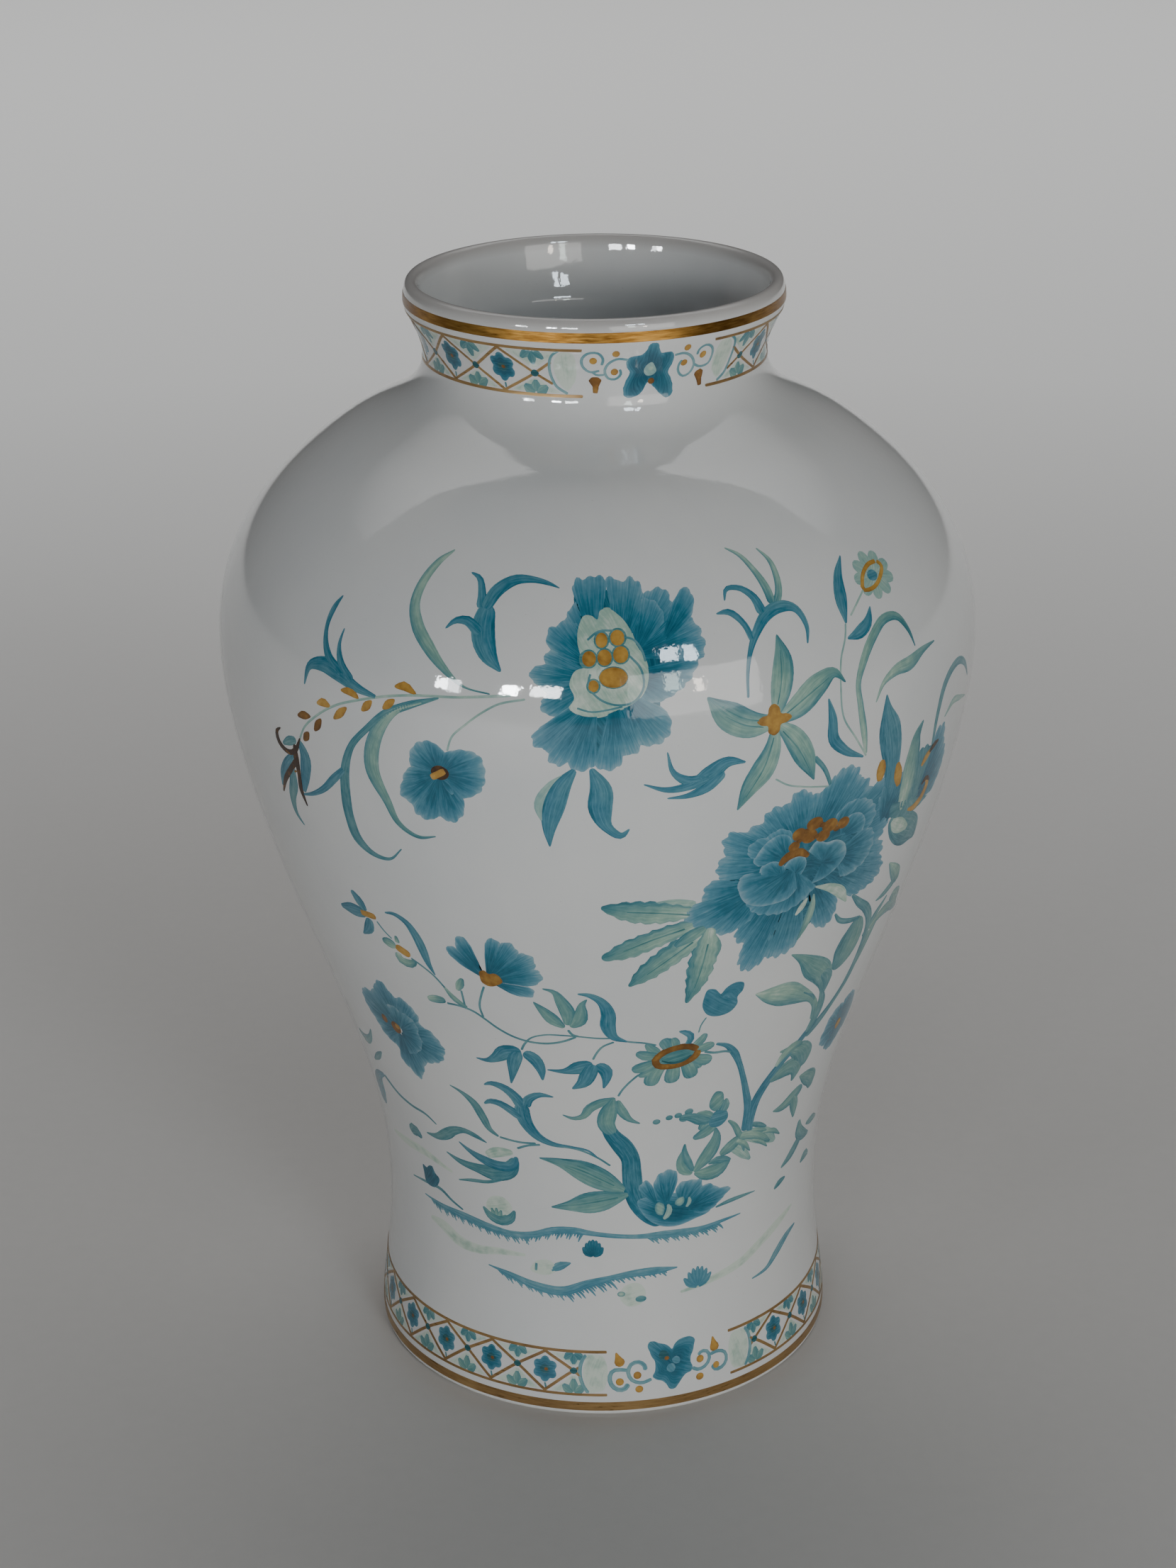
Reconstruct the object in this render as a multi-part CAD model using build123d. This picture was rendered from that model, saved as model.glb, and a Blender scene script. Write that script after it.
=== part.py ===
from build123d import *
import os

# A slip-cast porcelain baluster vase with fired-on gilding.
# Millimetres and degrees. Origin: centre of the foot on the table. +Z is up and -Y is the front.

# ---------------------------------------------------------------- driving dimensions
HEIGHT = 260.0                  # table to the crest of the lip

# Outside of the wall, as (radius, height) stations from the foot border up to the rim.
FOOT_STATIONS = [(54.9, 3.8), (53.4, 18.0), (52.3, 34.0), (53.4, 54.0)]
BELLY_STATIONS = [(58.2, 76.0), (66.8, 102.0), (76.5, 130.0), (83.6, 156.0), (86.4, 176.0)]
SHOULDER_STATIONS = [(85.4, 190.0), (80.8, 203.0), (73.3, 213.5), (64.6, 221.5), (55.1, 228.0)]
NECK_STATIONS = [(45.7, 233.0), (40.2, 237.6), (38.3, 243.0), (39.6, 249.2), (42.3, 254.9)]
RIM_FLARE = (0.3, 1.0)          # direction in which the wall runs into the rim

# Foot
FOOT_EDGE_ROUNDING = 0.9        # outer edge of the foot ring
FOOT_RING_WIDTH = 5.0           # unglazed ring that stands on the table
FOOT_RING_TAPER = 1.2           # lean of the ring's inner side
RECESS_DEPTH = 2.5              # hollow under the base
RECESS_ROUNDING = 1.0
RING_INNER_ROUNDING = 0.6

# Wall
FLOOR_THICKNESS = 5.0
FLOOR_RADIUS = 41.0             # flat middle of the floor
WALL_AT_FOOT = 5.2
WALL_AT_NECK = 3.4
INSIDE_START = 0.04             # inner stations: share of the outer curve's length
INSIDE_END = 0.895
INSIDE_COUNT = 14

# Mouth
BORE_RADIUS = 34.9              # narrowest, straight part of the throat
BORE_BOTTOM = 240.0
BORE_LENGTH = 6.0
RIM_BAND_TOP = (42.15, 257.5)   # top of the straight side that carries the rim gilding
LIP_CREST_RADIUS = 40.4
LIP_INSIDE = (38.6, 257.2)      # where the rounded lip meets the throat's flare

# Gilding
BAND_THICKNESS = 0.15           # raised paste gilding of the two full bands
LINE_THICKNESS = 0.12           # gilt lines of the borders
RIM_BAND = (255.15, 257.4)      # lower and upper edge
FOOT_BAND = (1.2, 3.6)
NECK_UPPER_LINE = (253.2, 253.85)
NECK_LOWER_LINE = (242.4, 243.1)
FOOT_UPPER_LINE = (16.15, 16.9)
FOOT_LOWER_LINE = (5.15, 5.85)

# Two painted star flowers, opposite each other, interrupt the lines of both borders.
STAR_ANGLE = -73.0              # direction of the first star, from +X towards +Y
STAR_COUNT = 2
NECK_STAR_GAP = 41.0            # opening in the neck lines at each star
FOOT_STAR_GAP = 32.0            # opening in the foot lines at each star


def at(radius, height):
    """A point of the section, which is drawn in the plane through +X and +Z."""
    return Vector(radius, 0, height)


def along(radial, axial):
    """A direction in the section."""
    return Vector(radial, 0, axial)


def wall_curve():
    """The outside of the vase, from the top of the foot edge to the bottom of the rim."""
    stations = FOOT_STATIONS + BELLY_STATIONS + SHOULDER_STATIONS + NECK_STATIONS
    points = [at(radius, height) for radius, height in stations]
    return Spline(*points, tangents=[along(-0.05, 1), along(*RIM_FLARE)])


def inside_points(outer):
    """Points a wall's thickness inside the outer curve, from the floor to the throat."""
    points = []
    step = (INSIDE_END - INSIDE_START) / (INSIDE_COUNT - 1)
    for index in range(INSIDE_COUNT):
        share = INSIDE_START + index * step
        point = outer.position_at(share)
        run = outer.tangent_at(share)
        wall = WALL_AT_FOOT + (WALL_AT_NECK - WALL_AT_FOOT) * point.Z / HEIGHT
        points.append(point + along(-run.Z, run.X) * wall)
    return points


def foot_profile():
    """Underside of the base, the foot ring and the straight foot edge."""
    foot_radius, edge_top = FOOT_STATIONS[0]
    ring_inner = foot_radius - FOOT_RING_WIDTH
    corners = [
        at(0, RECESS_DEPTH),
        at(ring_inner - FOOT_RING_TAPER, RECESS_DEPTH),
        at(ring_inner, 0),
        at(foot_radius, 0),
        at(foot_radius, edge_top),
    ]
    return FilletPolyline(*corners, radius=[RECESS_ROUNDING, RING_INNER_ROUNDING, FOOT_EDGE_ROUNDING])


def lip_profile():
    """The straight rim side, the rounded lip and the flare down into the throat."""
    side_bottom = at(*NECK_STATIONS[-1])
    side_top = at(*RIM_BAND_TOP)
    crest = at(LIP_CREST_RADIUS, HEIGHT)
    inside = at(*LIP_INSIDE)
    throat = at(BORE_RADIUS, BORE_BOTTOM + BORE_LENGTH)
    side = Line(side_bottom, side_top)
    outer_round = Bezier(side_top, at(RIM_BAND_TOP[0] - 0.1, HEIGHT), crest)
    inner_round = Bezier(crest, at(LIP_INSIDE[0] + 0.3, HEIGHT), inside)
    flare = Spline(inside, throat, tangents=[along(-0.1, -1), along(0, -1)])
    return [side, outer_round, inner_round, flare]


def floor_profile(wall_start, wall_run):
    """The rounded corner inside the foot and the flat floor."""
    floor_height = RECESS_DEPTH + FLOOR_THICKNESS
    floor_edge = at(FLOOR_RADIUS, floor_height)
    drop = wall_start.Z - floor_height
    corner = at(wall_start.X - wall_run.X / wall_run.Z * drop, floor_height)
    return [Bezier(wall_start, corner, floor_edge), Line(floor_edge, at(0, floor_height))]


def throat_profile(wall_end, wall_run):
    """The straight bore and the rounded turn from it into the inner wall."""
    bore_bottom = at(BORE_RADIUS, BORE_BOTTOM)
    rise = (BORE_RADIUS - wall_end.X) / wall_run.X * wall_run.Z
    corner = at(BORE_RADIUS, wall_end.Z + rise)
    bore = Line(at(BORE_RADIUS, BORE_BOTTOM + BORE_LENGTH), bore_bottom)
    return [bore, Bezier(bore_bottom, corner, wall_end)]


def porcelain_body(outer):
    """One casting: foot ring, base, wall, neck and lip."""
    inner = inside_points(outer)
    throat = throat_profile(inner[-1], outer.tangent_at(INSIDE_END))
    inner_wall = Spline(*reversed(inner))
    floor = floor_profile(inner[0], outer.tangent_at(INSIDE_START))
    axis_line = Line(at(0, RECESS_DEPTH + FLOOR_THICKNESS), at(0, RECESS_DEPTH))
    edges = [*foot_profile().edges(), outer, *lip_profile(), *throat, inner_wall, *floor, axis_line]
    section = Face(Wire(edges))
    return revolve(section, Axis.Z, 360)


def raised_band(profile, thickness, start, sweep):
    """Gilding on a stretch of the section: thickened outwards and turned about the axis."""
    outside = profile.moved(Location((thickness, 0, 0)))
    lower = Line(profile.position_at(0), outside.position_at(0))
    upper = Line(profile.position_at(1), outside.position_at(1))
    section = Face(Wire([profile, upper, outside, lower]))
    return revolve(section, Axis.Z, sweep).rotate(Axis.Z, start)


def share_at_height(curve, height):
    """Share of a rising curve's length at which it reaches the height, by halving."""
    low = 0.0
    high = 1.0
    for _ in range(40):
        middle = (low + high) / 2
        if curve.position_at(middle).Z < height:
            low = middle
        else:
            high = middle
    return (low + high) / 2


def stretch(curve, heights):
    """The piece of a rising curve between two heights."""
    return curve.trim(share_at_height(curve, heights[0]), share_at_height(curve, heights[1]))


def full_band(side, heights):
    """A gilt band all the way round a straight side of the section."""
    return raised_band(stretch(side, heights), BAND_THICKNESS, 0, 360)


def border_line(outer, heights, gap):
    """A gilt border line in separate arcs, open at each star flower."""
    spacing = 360 / STAR_COUNT
    profile = stretch(outer, heights)
    arcs = []
    for index in range(STAR_COUNT):
        start = STAR_ANGLE + gap / 2 + index * spacing
        arcs.append(raised_band(profile, LINE_THICKNESS, start, spacing - gap))
    return Compound([solid for arc in arcs for solid in arc.solids()])


def save(shape, node):
    """Writes one sub-part and reports it."""
    export_step(shape, f"parts/{node}.step")
    print(f"{node}: {len(shape.solids())} solid(s), {shape.volume / 1000:.2f} cm3")


os.makedirs("parts", exist_ok=True)
wall = wall_curve()
foot_side = Line(at(FOOT_STATIONS[0][0], FOOT_EDGE_ROUNDING), at(*FOOT_STATIONS[0]))
rim_side = Line(at(*NECK_STATIONS[-1]), at(*RIM_BAND_TOP))

save(porcelain_body(wall), "porcelain_body")
save(full_band(rim_side, RIM_BAND), "rim_gilt_band")
save(full_band(foot_side, FOOT_BAND), "foot_gilt_band")
save(border_line(wall, NECK_UPPER_LINE, NECK_STAR_GAP), "neck_border_upper_gilt_line")
save(border_line(wall, NECK_LOWER_LINE, NECK_STAR_GAP), "neck_border_lower_gilt_line")
save(border_line(wall, FOOT_UPPER_LINE, FOOT_STAR_GAP), "foot_border_upper_gilt_line")
save(border_line(wall, FOOT_LOWER_LINE, FOOT_STAR_GAP), "foot_border_lower_gilt_line")
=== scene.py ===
import math

import bpy
import numpy as np
from mathutils import Matrix, Vector


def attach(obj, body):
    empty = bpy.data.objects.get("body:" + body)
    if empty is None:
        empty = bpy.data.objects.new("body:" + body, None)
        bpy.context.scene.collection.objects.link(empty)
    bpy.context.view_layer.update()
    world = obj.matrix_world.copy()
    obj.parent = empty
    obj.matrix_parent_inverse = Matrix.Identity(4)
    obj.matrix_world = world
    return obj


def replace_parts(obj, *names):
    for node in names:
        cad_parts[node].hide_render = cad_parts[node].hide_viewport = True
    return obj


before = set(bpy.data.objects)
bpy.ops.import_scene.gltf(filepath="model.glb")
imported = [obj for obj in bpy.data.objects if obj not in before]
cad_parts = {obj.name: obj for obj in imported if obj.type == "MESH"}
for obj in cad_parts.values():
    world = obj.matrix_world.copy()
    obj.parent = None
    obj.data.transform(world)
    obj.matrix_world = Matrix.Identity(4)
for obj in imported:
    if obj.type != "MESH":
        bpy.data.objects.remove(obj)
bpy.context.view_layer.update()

# A glazed porcelain vase with gilt bands and blue, green and ochre enamel flowers.
# The vase is described in millimetres, and in degrees round the axis from the front (-Y) towards +X.
MM = 0.001

# ---------------------------------------------------------------- the vase's section, as in the CAD
HEIGHT = 260.0
FOOT_RADIUS = 54.9
FOOT_EDGE_ROUNDING = 0.9
FOOT_RING_WIDTH = 5.0
FOOT_RING_TAPER = 1.2
RECESS_DEPTH = 2.5
FLOOR_TOP = 7.5
FLOOR_RADIUS = 41.0
OUTSIDE_STATIONS = [
    (54.9, 3.8), (53.4, 18.0), (52.3, 34.0), (53.4, 54.0),
    (58.2, 76.0), (66.8, 102.0), (76.5, 130.0), (83.6, 156.0), (86.4, 176.0),
    (85.4, 190.0), (80.8, 203.0), (73.3, 213.5), (64.6, 221.5), (55.1, 228.0),
    (45.7, 233.0), (40.2, 237.6), (38.3, 243.0), (39.6, 249.2), (42.3, 254.9),
]
FOOT_RUN = (-0.05, 1.0)
RIM_RUN = (0.3, 1.0)
WALL_AT_FOOT = 5.2
WALL_AT_NECK = 3.4
RIM_BAND_TOP = (42.15, 257.5)
LIP_CREST_RADIUS = 40.4
LIP_INSIDE = (38.6, 257.2)
BORE_RADIUS = 34.9
BORE_BOTTOM = 240.0
BORE_TOP = 246.0
THROAT_BEND = (37.0, 250.0)    # the flare from the lip to the bore turns towards this point
INSIDE_SHARES = (0.04, 0.895)  # where the inner wall starts and ends along the outer one
CAP_RADIUS = 0.6               # small caps close the body on its axis
TURNS = 288                    # facets round the body
SECTION_STEP = 1.6             # along the section
SURFACE_STEP = 0.25            # along the outside line that carries the painting

# ---------------------------------------------------------------- gilding
BAND_THICKNESS = 0.15
LINE_THICKNESS = 0.12
RIM_BAND = (255.15, 257.4)     # lower and upper edge
FOOT_BAND = (1.2, 3.6)
NECK_LINES = ((253.2, 253.85), (242.4, 243.1))
FOOT_LINES = ((16.15, 16.9), (5.15, 5.85))
STRIP_STEP = 1.25              # degrees between the samples of a strip
STAR = 17.0                    # where the first star flower is
NECK_GAP = 41.0                # opening in the neck lines at each star
FOOT_GAP = 32.0                # and in the foot lines

# ---------------------------------------------------------------- enamel
SINK = 0.03                    # an enamel edge ends this far under the glaze
UNDERSIDE = 0.06               # depth of the hidden side of an enamel piece
RELIEF = 0.05                  # height of enamel over the glaze
LEVEL_STEP = 0.018             # added for each piece that lies over another
STROKE_STEP = 0.25             # between the samples of a leaf's spine
PETAL_STEP = 0.6               # and of a petal's rim
BLOB_STEP = 0.5                # and of a blob's outline
DOT_CORNERS = 10
TOOTH_PITCH = 2.6              # fine teeth along the rim of a petal
TOOTH_DEPTH = 0.045            # their depth, as a share of the petal's length
GLAZE_IOR = 1.52


# ================================================================ curves
def read_curve(knots, runs, gaps, where):
    """Points at the given distances along a cubic curve with known directions at its knots."""
    at = np.concatenate([[0], np.cumsum(gaps)])
    piece = np.clip(np.searchsorted(at, where, side="right") - 1, 0, len(gaps) - 1)
    width = gaps[piece][:, None]
    part = (where[:, None] - at[piece][:, None]) / width
    blend = 3 * part**2 - 2 * part**3
    leaving = (part**3 - 2 * part**2 + part) * width * runs[piece]
    arriving = (part**3 - part**2) * width * runs[piece + 1]
    return knots[piece] * (1 - blend) + knots[piece + 1] * blend + (leaving + arriving)


def smooth(points, step, closed=False, least=3):
    """Evenly spaced samples of a round curve through the points, which can carry extra values."""
    knots = np.array(points, float)
    if closed:
        knots = np.vstack([knots[-1:], knots, knots[:2]])
    gaps = np.maximum(np.linalg.norm(np.diff(knots[:, :2], axis=0), axis=1), 1e-6)
    at = np.concatenate([[0], np.cumsum(gaps)])
    slopes = np.diff(knots, axis=0) / gaps[:, None]
    runs = np.empty_like(knots)
    runs[0] = slopes[0]
    runs[-1] = slopes[-1]
    share = (gaps[:-1] / (gaps[:-1] + gaps[1:]))[:, None]
    runs[1:-1] = slopes[:-1] * (1 - share) + slopes[1:] * share
    first, last = (at[1], at[-2]) if closed else (at[0], at[-1])
    count = max(least, int(math.ceil((last - first) / step)) + 1)
    where = np.linspace(first, last, count)
    if closed:
        where = where[:-1]
    return read_curve(knots, runs, gaps, where)


def clamped_spline(points, start_run, end_run, step):
    """The cubic curve of even curvature through the points, with given directions at its ends."""
    knots = np.array(points, float)
    gaps = np.linalg.norm(np.diff(knots, axis=0), axis=1)
    total = np.cumsum(gaps)[-1]
    count = len(knots)
    system = np.eye(count)
    wanted = np.empty_like(knots)
    wanted[0] = np.array(start_run) / np.hypot(*start_run)
    wanted[-1] = np.array(end_run) / np.hypot(*end_run)
    for knot in range(1, count - 1):
        before, after = gaps[knot - 1], gaps[knot]
        system[knot, knot - 1:knot + 2] = after, 2 * (before + after), before
        rise_before = (knots[knot] - knots[knot - 1]) / before
        rise_after = (knots[knot + 1] - knots[knot]) / after
        wanted[knot] = 3 * (after * rise_before + before * rise_after)
    runs = np.linalg.solve(system, wanted)
    return read_curve(knots, runs, gaps, np.linspace(0, total, int(total / step) + 1))


def bezier(start, middle, end, count):
    """A round turn from start to end that leaves and arrives towards the middle point."""
    share = np.linspace(0, 1, count)[:, None]
    start, middle, end = (np.array(place, float) for place in (start, middle, end))
    return start * (1 - share)**2 + 2 * middle * share * (1 - share) + end * share**2


def straight(start, end, count):
    """Evenly spaced points of a straight line."""
    share = np.linspace(0, 1, count)[:, None]
    return np.array(start, float) * (1 - share) + np.array(end, float) * share


# ================================================================ the outside surface
outside = clamped_spline(OUTSIDE_STATIONS, FOOT_RUN, RIM_RUN, SURFACE_STEP)
foot_side = straight((FOOT_RADIUS, FOOT_EDGE_ROUNDING), (FOOT_RADIUS, 3.7), 6)
rim_side = straight(OUTSIDE_STATIONS[-1], RIM_BAND_TOP, 8)[1:]
surface_line = np.vstack([foot_side, outside, rim_side])
surface_slope = np.gradient(surface_line[:, 0], surface_line[:, 1])


def radius_at(height):
    """The vase's outer radius."""
    return np.interp(height, surface_line[:, 1], surface_line[:, 0])


def slope_at(height):
    """How fast the radius grows with height."""
    return np.interp(height, surface_line[:, 1], surface_slope)


def slant_at(height):
    """Length on the surface for each millimetre of height."""
    return np.sqrt(1 + slope_at(height)**2)


def on_vase(angle, height, lift):
    """Points in metres, and their directions out of the glaze, for places on the vase."""
    slope = slope_at(height)
    slant = np.sqrt(1 + slope**2)
    turn = np.radians(angle)
    out = np.stack([np.sin(turn) / slant, -np.cos(turn) / slant, -slope / slant], -1)
    radius = radius_at(height)
    foot_point = np.stack([radius * np.sin(turn), -radius * np.cos(turn), height], -1)
    return (foot_point + out * np.asarray(lift)[..., None]) * MM, out


# ================================================================ closed enamel shells
def shell(places, lift, shade, tint, length, breadth, loop=False, cap=False):
    """A closed thin shell over a grid of places.

    Rows can run in a loop, and a cap closes the first column. Length and breadth steer the brush marks.
    """
    rows, columns = places.shape[:2]
    on_edge = np.zeros((rows, columns), bool)
    on_edge[:, -1] = True
    if not cap:
        on_edge[:, 0] = True
    if not loop:
        on_edge[0] = True
        on_edge[-1] = True
    top = np.arange(rows * columns).reshape(rows, columns)
    under = top.copy()
    inner = ~on_edge
    under[inner] = rows * columns + np.arange(inner.sum())
    angle, height = places[..., 0], places[..., 1]
    raised = np.where(on_edge, -SINK, lift)
    points, out = on_vase(angle, height, raised)
    low_points, low_out = on_vase(angle[inner], height[inner], np.full(inner.sum(), -UNDERSIDE))
    row = np.arange(rows if loop else rows - 1)
    after = (row + 1) % rows

    def sheet(ids):
        corners = [ids[row, :-1], ids[row, 1:], ids[after, 1:], ids[after, :-1]]
        return np.stack(corners, -1).reshape(-1, 4)

    quads = sheet(top)
    flat = points.reshape(-1, 3)
    crossed = np.cross(flat[quads[:, 2]] - flat[quads[:, 0]], flat[quads[:, 3]] - flat[quads[:, 1]])
    faces = [*quads.tolist(), *sheet(under)[:, ::-1].tolist()]
    if cap:
        faces += [top[:, 0].tolist(), under[::-1, 0].tolist()]
    if (crossed * out.reshape(-1, 3)[quads[:, 0]]).sum() < 0:
        faces = [face[::-1] for face in faces]

    def both(values):
        full = np.broadcast_to(values, (rows, columns))
        return np.concatenate([full.reshape(-1), full[inner]])

    return {
        "points": np.vstack([points.reshape(-1, 3), low_points]),
        "normals": np.vstack([out.reshape(-1, 3), low_out]),
        "faces": faces,
        "shade": both(shade),
        "tint": both(tint),
        "length": both(length),
        "breadth": both(breadth),
    }


# Each style: shade at the base, at the tip, at the sides and on the rim, how green the middle and
# the edge are, and how much the shade and the green differ from side to side.
STYLES = {
    "blue": (0.44, 0.46, 0.36, 0.46, 0.10, 0.05, 0.16),
    "stem": (0.30, 0.36, 0.26, 0.34, 0.05, 0.05, 0.10),
    "deep": (0.16, 0.26, 0.16, 0.24, 0.05, 0.1, 0.0),
    "petal": (0.12, 0.50, 0.44, 0.78, 0.0, 0.0, 0.0),
    "blossom": (0.05, 0.4, 0.4, 0.55, 0.0, 0.1, 0.0),
    "faded": (0.58, 0.58, 0.50, 0.58, 0.15, 0.10, 0.1),
    "faded_blossom": (0.18, 0.44, 0.44, 0.56, 0.0, 0.1, 0.0),
    "soft": (0.13, 0.50, 0.43, 0.90, 0.0, 0.0, 0.0),
    "sea": (0.56, 0.60, 0.42, 0.40, 0.85, 0.42, 0.16),
    "teal": (0.50, 0.45, 0.34, 0.40, 0.55, 0.35, 0.12),
    "green": (0.82, 0.46, 0.50, 0.36, 0.95, 0.50, 0.24),
    "pale": (0.84, 0.80, 0.76, 0.80, 0.8, 0.7, 0.0),
    "mint": (0.94, 0.92, 0.82, 0.86, 1.0, 0.95, 0.0),
    "wash": (0.95, 0.95, 1.06, 1.03, 1.0, 1.0, 0.0),
    "scroll": (0.66, 0.66, 0.62, 0.62, 0.35, 0.35, 0.0),
    "line": (0.46, 0.46, 0.46, 0.46, 0.45, 0.45, 0.0),
    "vein": (0.36, 0.40, 0.36, 0.40, 0.8, 0.8, 0.0),
    "knot": (0.06, 0.10, 0.06, 0.08, 0.8, 0.8, 0.0),
    "ochre": (0.62, 0.70, 0.48, 0.50, 0.0, 0.0, 0.0),
    "ring": (0.37, 0.42, 0.22, 0.37, 0.0, 0.0, 0.0),
    "russet": (0.30, 0.42, 0.18, 0.22, 0.0, 0.0, 0.0),
    "black": (0.0, 0.0, 0.0, 0.0, 0.0, 0.0, 0.0),
    "gilt": (0.5, 0.5, 0.5, 0.5, 0.0, 0.0, 0.0),
}


def paint(style, along, across):
    """Shade and green of a place that is so far along (0 to 1) and across (-1 to 1)."""
    base, tip, side, rim, green, edge_green, split = STYLES[style]
    shade = base + (tip - base) * along**1.5
    shade = shade + (side - shade) * np.abs(across)**3
    shade = shade + (rim - shade) * along**7 + split * across * 0.6
    edge = np.maximum(np.abs(across)**3, along**4)
    tint = green + (edge_green - green) * edge + split * across * 0.8
    return shade, np.clip(tint, 0, 1)


def height_of(level):
    """How far a piece at a level stands out of the glaze."""
    return RELIEF + LEVEL_STEP * level


def leaf(spine, widths, style, level=0, wave=0.0):
    """A brush stroke or leaf that follows a spine of places and has a width at each of them."""
    spine = np.array(spine, float)
    widths = np.atleast_1d(widths)
    knots = np.linspace(0, 1, max(len(spine), len(widths)))
    spine_knots = np.linspace(0, 1, len(spine))
    spine = np.column_stack([np.interp(knots, spine_knots, column) for column in spine.T])
    widths = np.interp(knots, np.linspace(0, 1, len(widths)), widths)
    scale = radius_at(spine[:, 1].mean()) * math.pi / 180
    slant = slant_at(spine[:, 1].mean())
    flat = np.column_stack([spine[:, 0] * scale, spine[:, 1] * slant, widths])
    line = smooth(flat, STROKE_STEP)
    gaps = np.linalg.norm(np.diff(line[:, :2], axis=0), axis=1)
    at = np.concatenate([[0], np.cumsum(gaps)])
    total = at[-1]
    widest = line[:, 2].max()
    count = int(np.clip(total / (0.55 if widest < 1 else 0.75), 8, 90))
    share = (1 - np.cos(np.linspace(0, math.pi, count))) / 2
    share = 0.65 * share + 0.35 * np.linspace(0, 1, count)
    where = share * total
    x, y, width = (np.interp(where, at, column) for column in line.T)
    run = np.stack([np.gradient(x, where), np.gradient(y, where)], -1)
    run /= np.linalg.norm(run, axis=1)[:, None]
    for end in (where, total - where):
        radius = np.maximum(width[np.argmin(end)] / 2, 0.12)
        near = np.clip(1 - end / radius, 0, 1)
        width = width * np.sqrt(np.clip(1 - near**2, 0.01, 1))
    width = width * (1 + wave * np.sin(where * 2.1) * np.minimum(1, np.minimum(where, total - where)))
    across = np.array([-1, -0.86, -0.5, 0, 0.5, 0.86, 1] if widest > 1 else [-1, -0.75, 0, 0.75, 1])
    offset = across[None, :] * width[:, None] / 2
    grid_x = x[:, None] - run[:, 1:] * offset
    grid_y = y[:, None] + run[:, :1] * offset
    height = grid_y / slant
    middle = np.interp(where, at, line[:, 1]) / slant
    true_scale = radius_at(middle) * math.pi / 180
    angle = x[:, None] / scale + (grid_x - x[:, None]) / true_scale[:, None]
    shade, tint = paint(style, share[:, None], across[None, :])
    lift = height_of(level) * (1 - 0.35 * across**4)[None, :] * np.ones((count, 1))
    places = np.stack([angle, height], -1)
    return shell(places, lift, shade, tint, where[:, None], across[None, :] * widest / 2)


def petal(base, rim, style, level=0):
    """A petal that opens from a base place to a curved rim."""
    scale = radius_at(base[1]) * math.pi / 180
    flat = np.array(rim, float) * (scale, 1)
    edge = smooth(flat, PETAL_STEP, least=8) / (scale, 1)
    count = len(edge)
    if style != "soft":
        tooth = np.abs(np.sin(np.arange(count) * PETAL_STEP * math.pi / TOOTH_PITCH))
        edge = base + (edge - base) * (1 + TOOTH_DEPTH * tooth)[:, None]
    out = np.array([0.05, 0.22, 0.42, 0.62, 0.78, 0.88, 0.95, 1.0])
    across = np.linspace(-1, 1, count)
    places = np.array(base) + (edge[:, None] - base) * out[None, :, None]
    shade, tint = paint(style, out[None, :], across[:, None] * 0.9)
    size = np.linalg.norm((edge - base) * (scale, 1), axis=1).mean()
    lift = height_of(level) * (1 - 0.4 * out[None, :]**8) * np.ones((count, 1))
    return shell(places, lift, shade, tint, out[None, :] * size, across[:, None] * size * 0.45)


def blob(rim, style, level=0, centre=None):
    """A closed spot with a curved outline."""
    rim = np.array(rim, float)
    middle = rim.mean(0) if centre is None else np.array(centre, float)
    scale = radius_at(middle[1]) * math.pi / 180
    edge = smooth(rim * (scale, 1), BLOB_STEP, closed=True) / (scale, 1)
    size = np.linalg.norm((edge - middle) * (scale, 1), axis=1).mean()
    out = np.concatenate([np.linspace(0.05, 0.85, max(4, int(1.6 * size))), [0.94, 1.0]])
    places = middle + (edge[:, None] - middle) * out[None, :, None]
    turn = np.linspace(0, 2 * math.pi, len(edge), endpoint=False)
    base, _, _, rim_shade, green, edge_green, _ = STYLES[style]
    shade = base + (rim_shade - base) * out[None, :]**3
    tint = green + (edge_green - green) * out[None, :]**3
    lift = height_of(level) * (1 - 0.4 * out[None, :]**8) * np.ones((len(edge), 1))
    around = size * np.sin(turn)[:, None] * out[None, :]
    return shell(places, lift, shade, tint, out[None, :] * size, around, loop=True, cap=True)


def dot(centre, width, tall, style, level=0):
    """A round or oval spot, with its width and height in millimetres."""
    scale = radius_at(centre[1]) * math.pi / 180
    turns = np.arange(DOT_CORNERS) * 2 * math.pi / DOT_CORNERS
    rim = [(centre[0] + math.cos(turn) * width / 2 / scale, centre[1] + math.sin(turn) * tall / 2)
           for turn in turns]
    return blob(rim, style, level)


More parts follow.
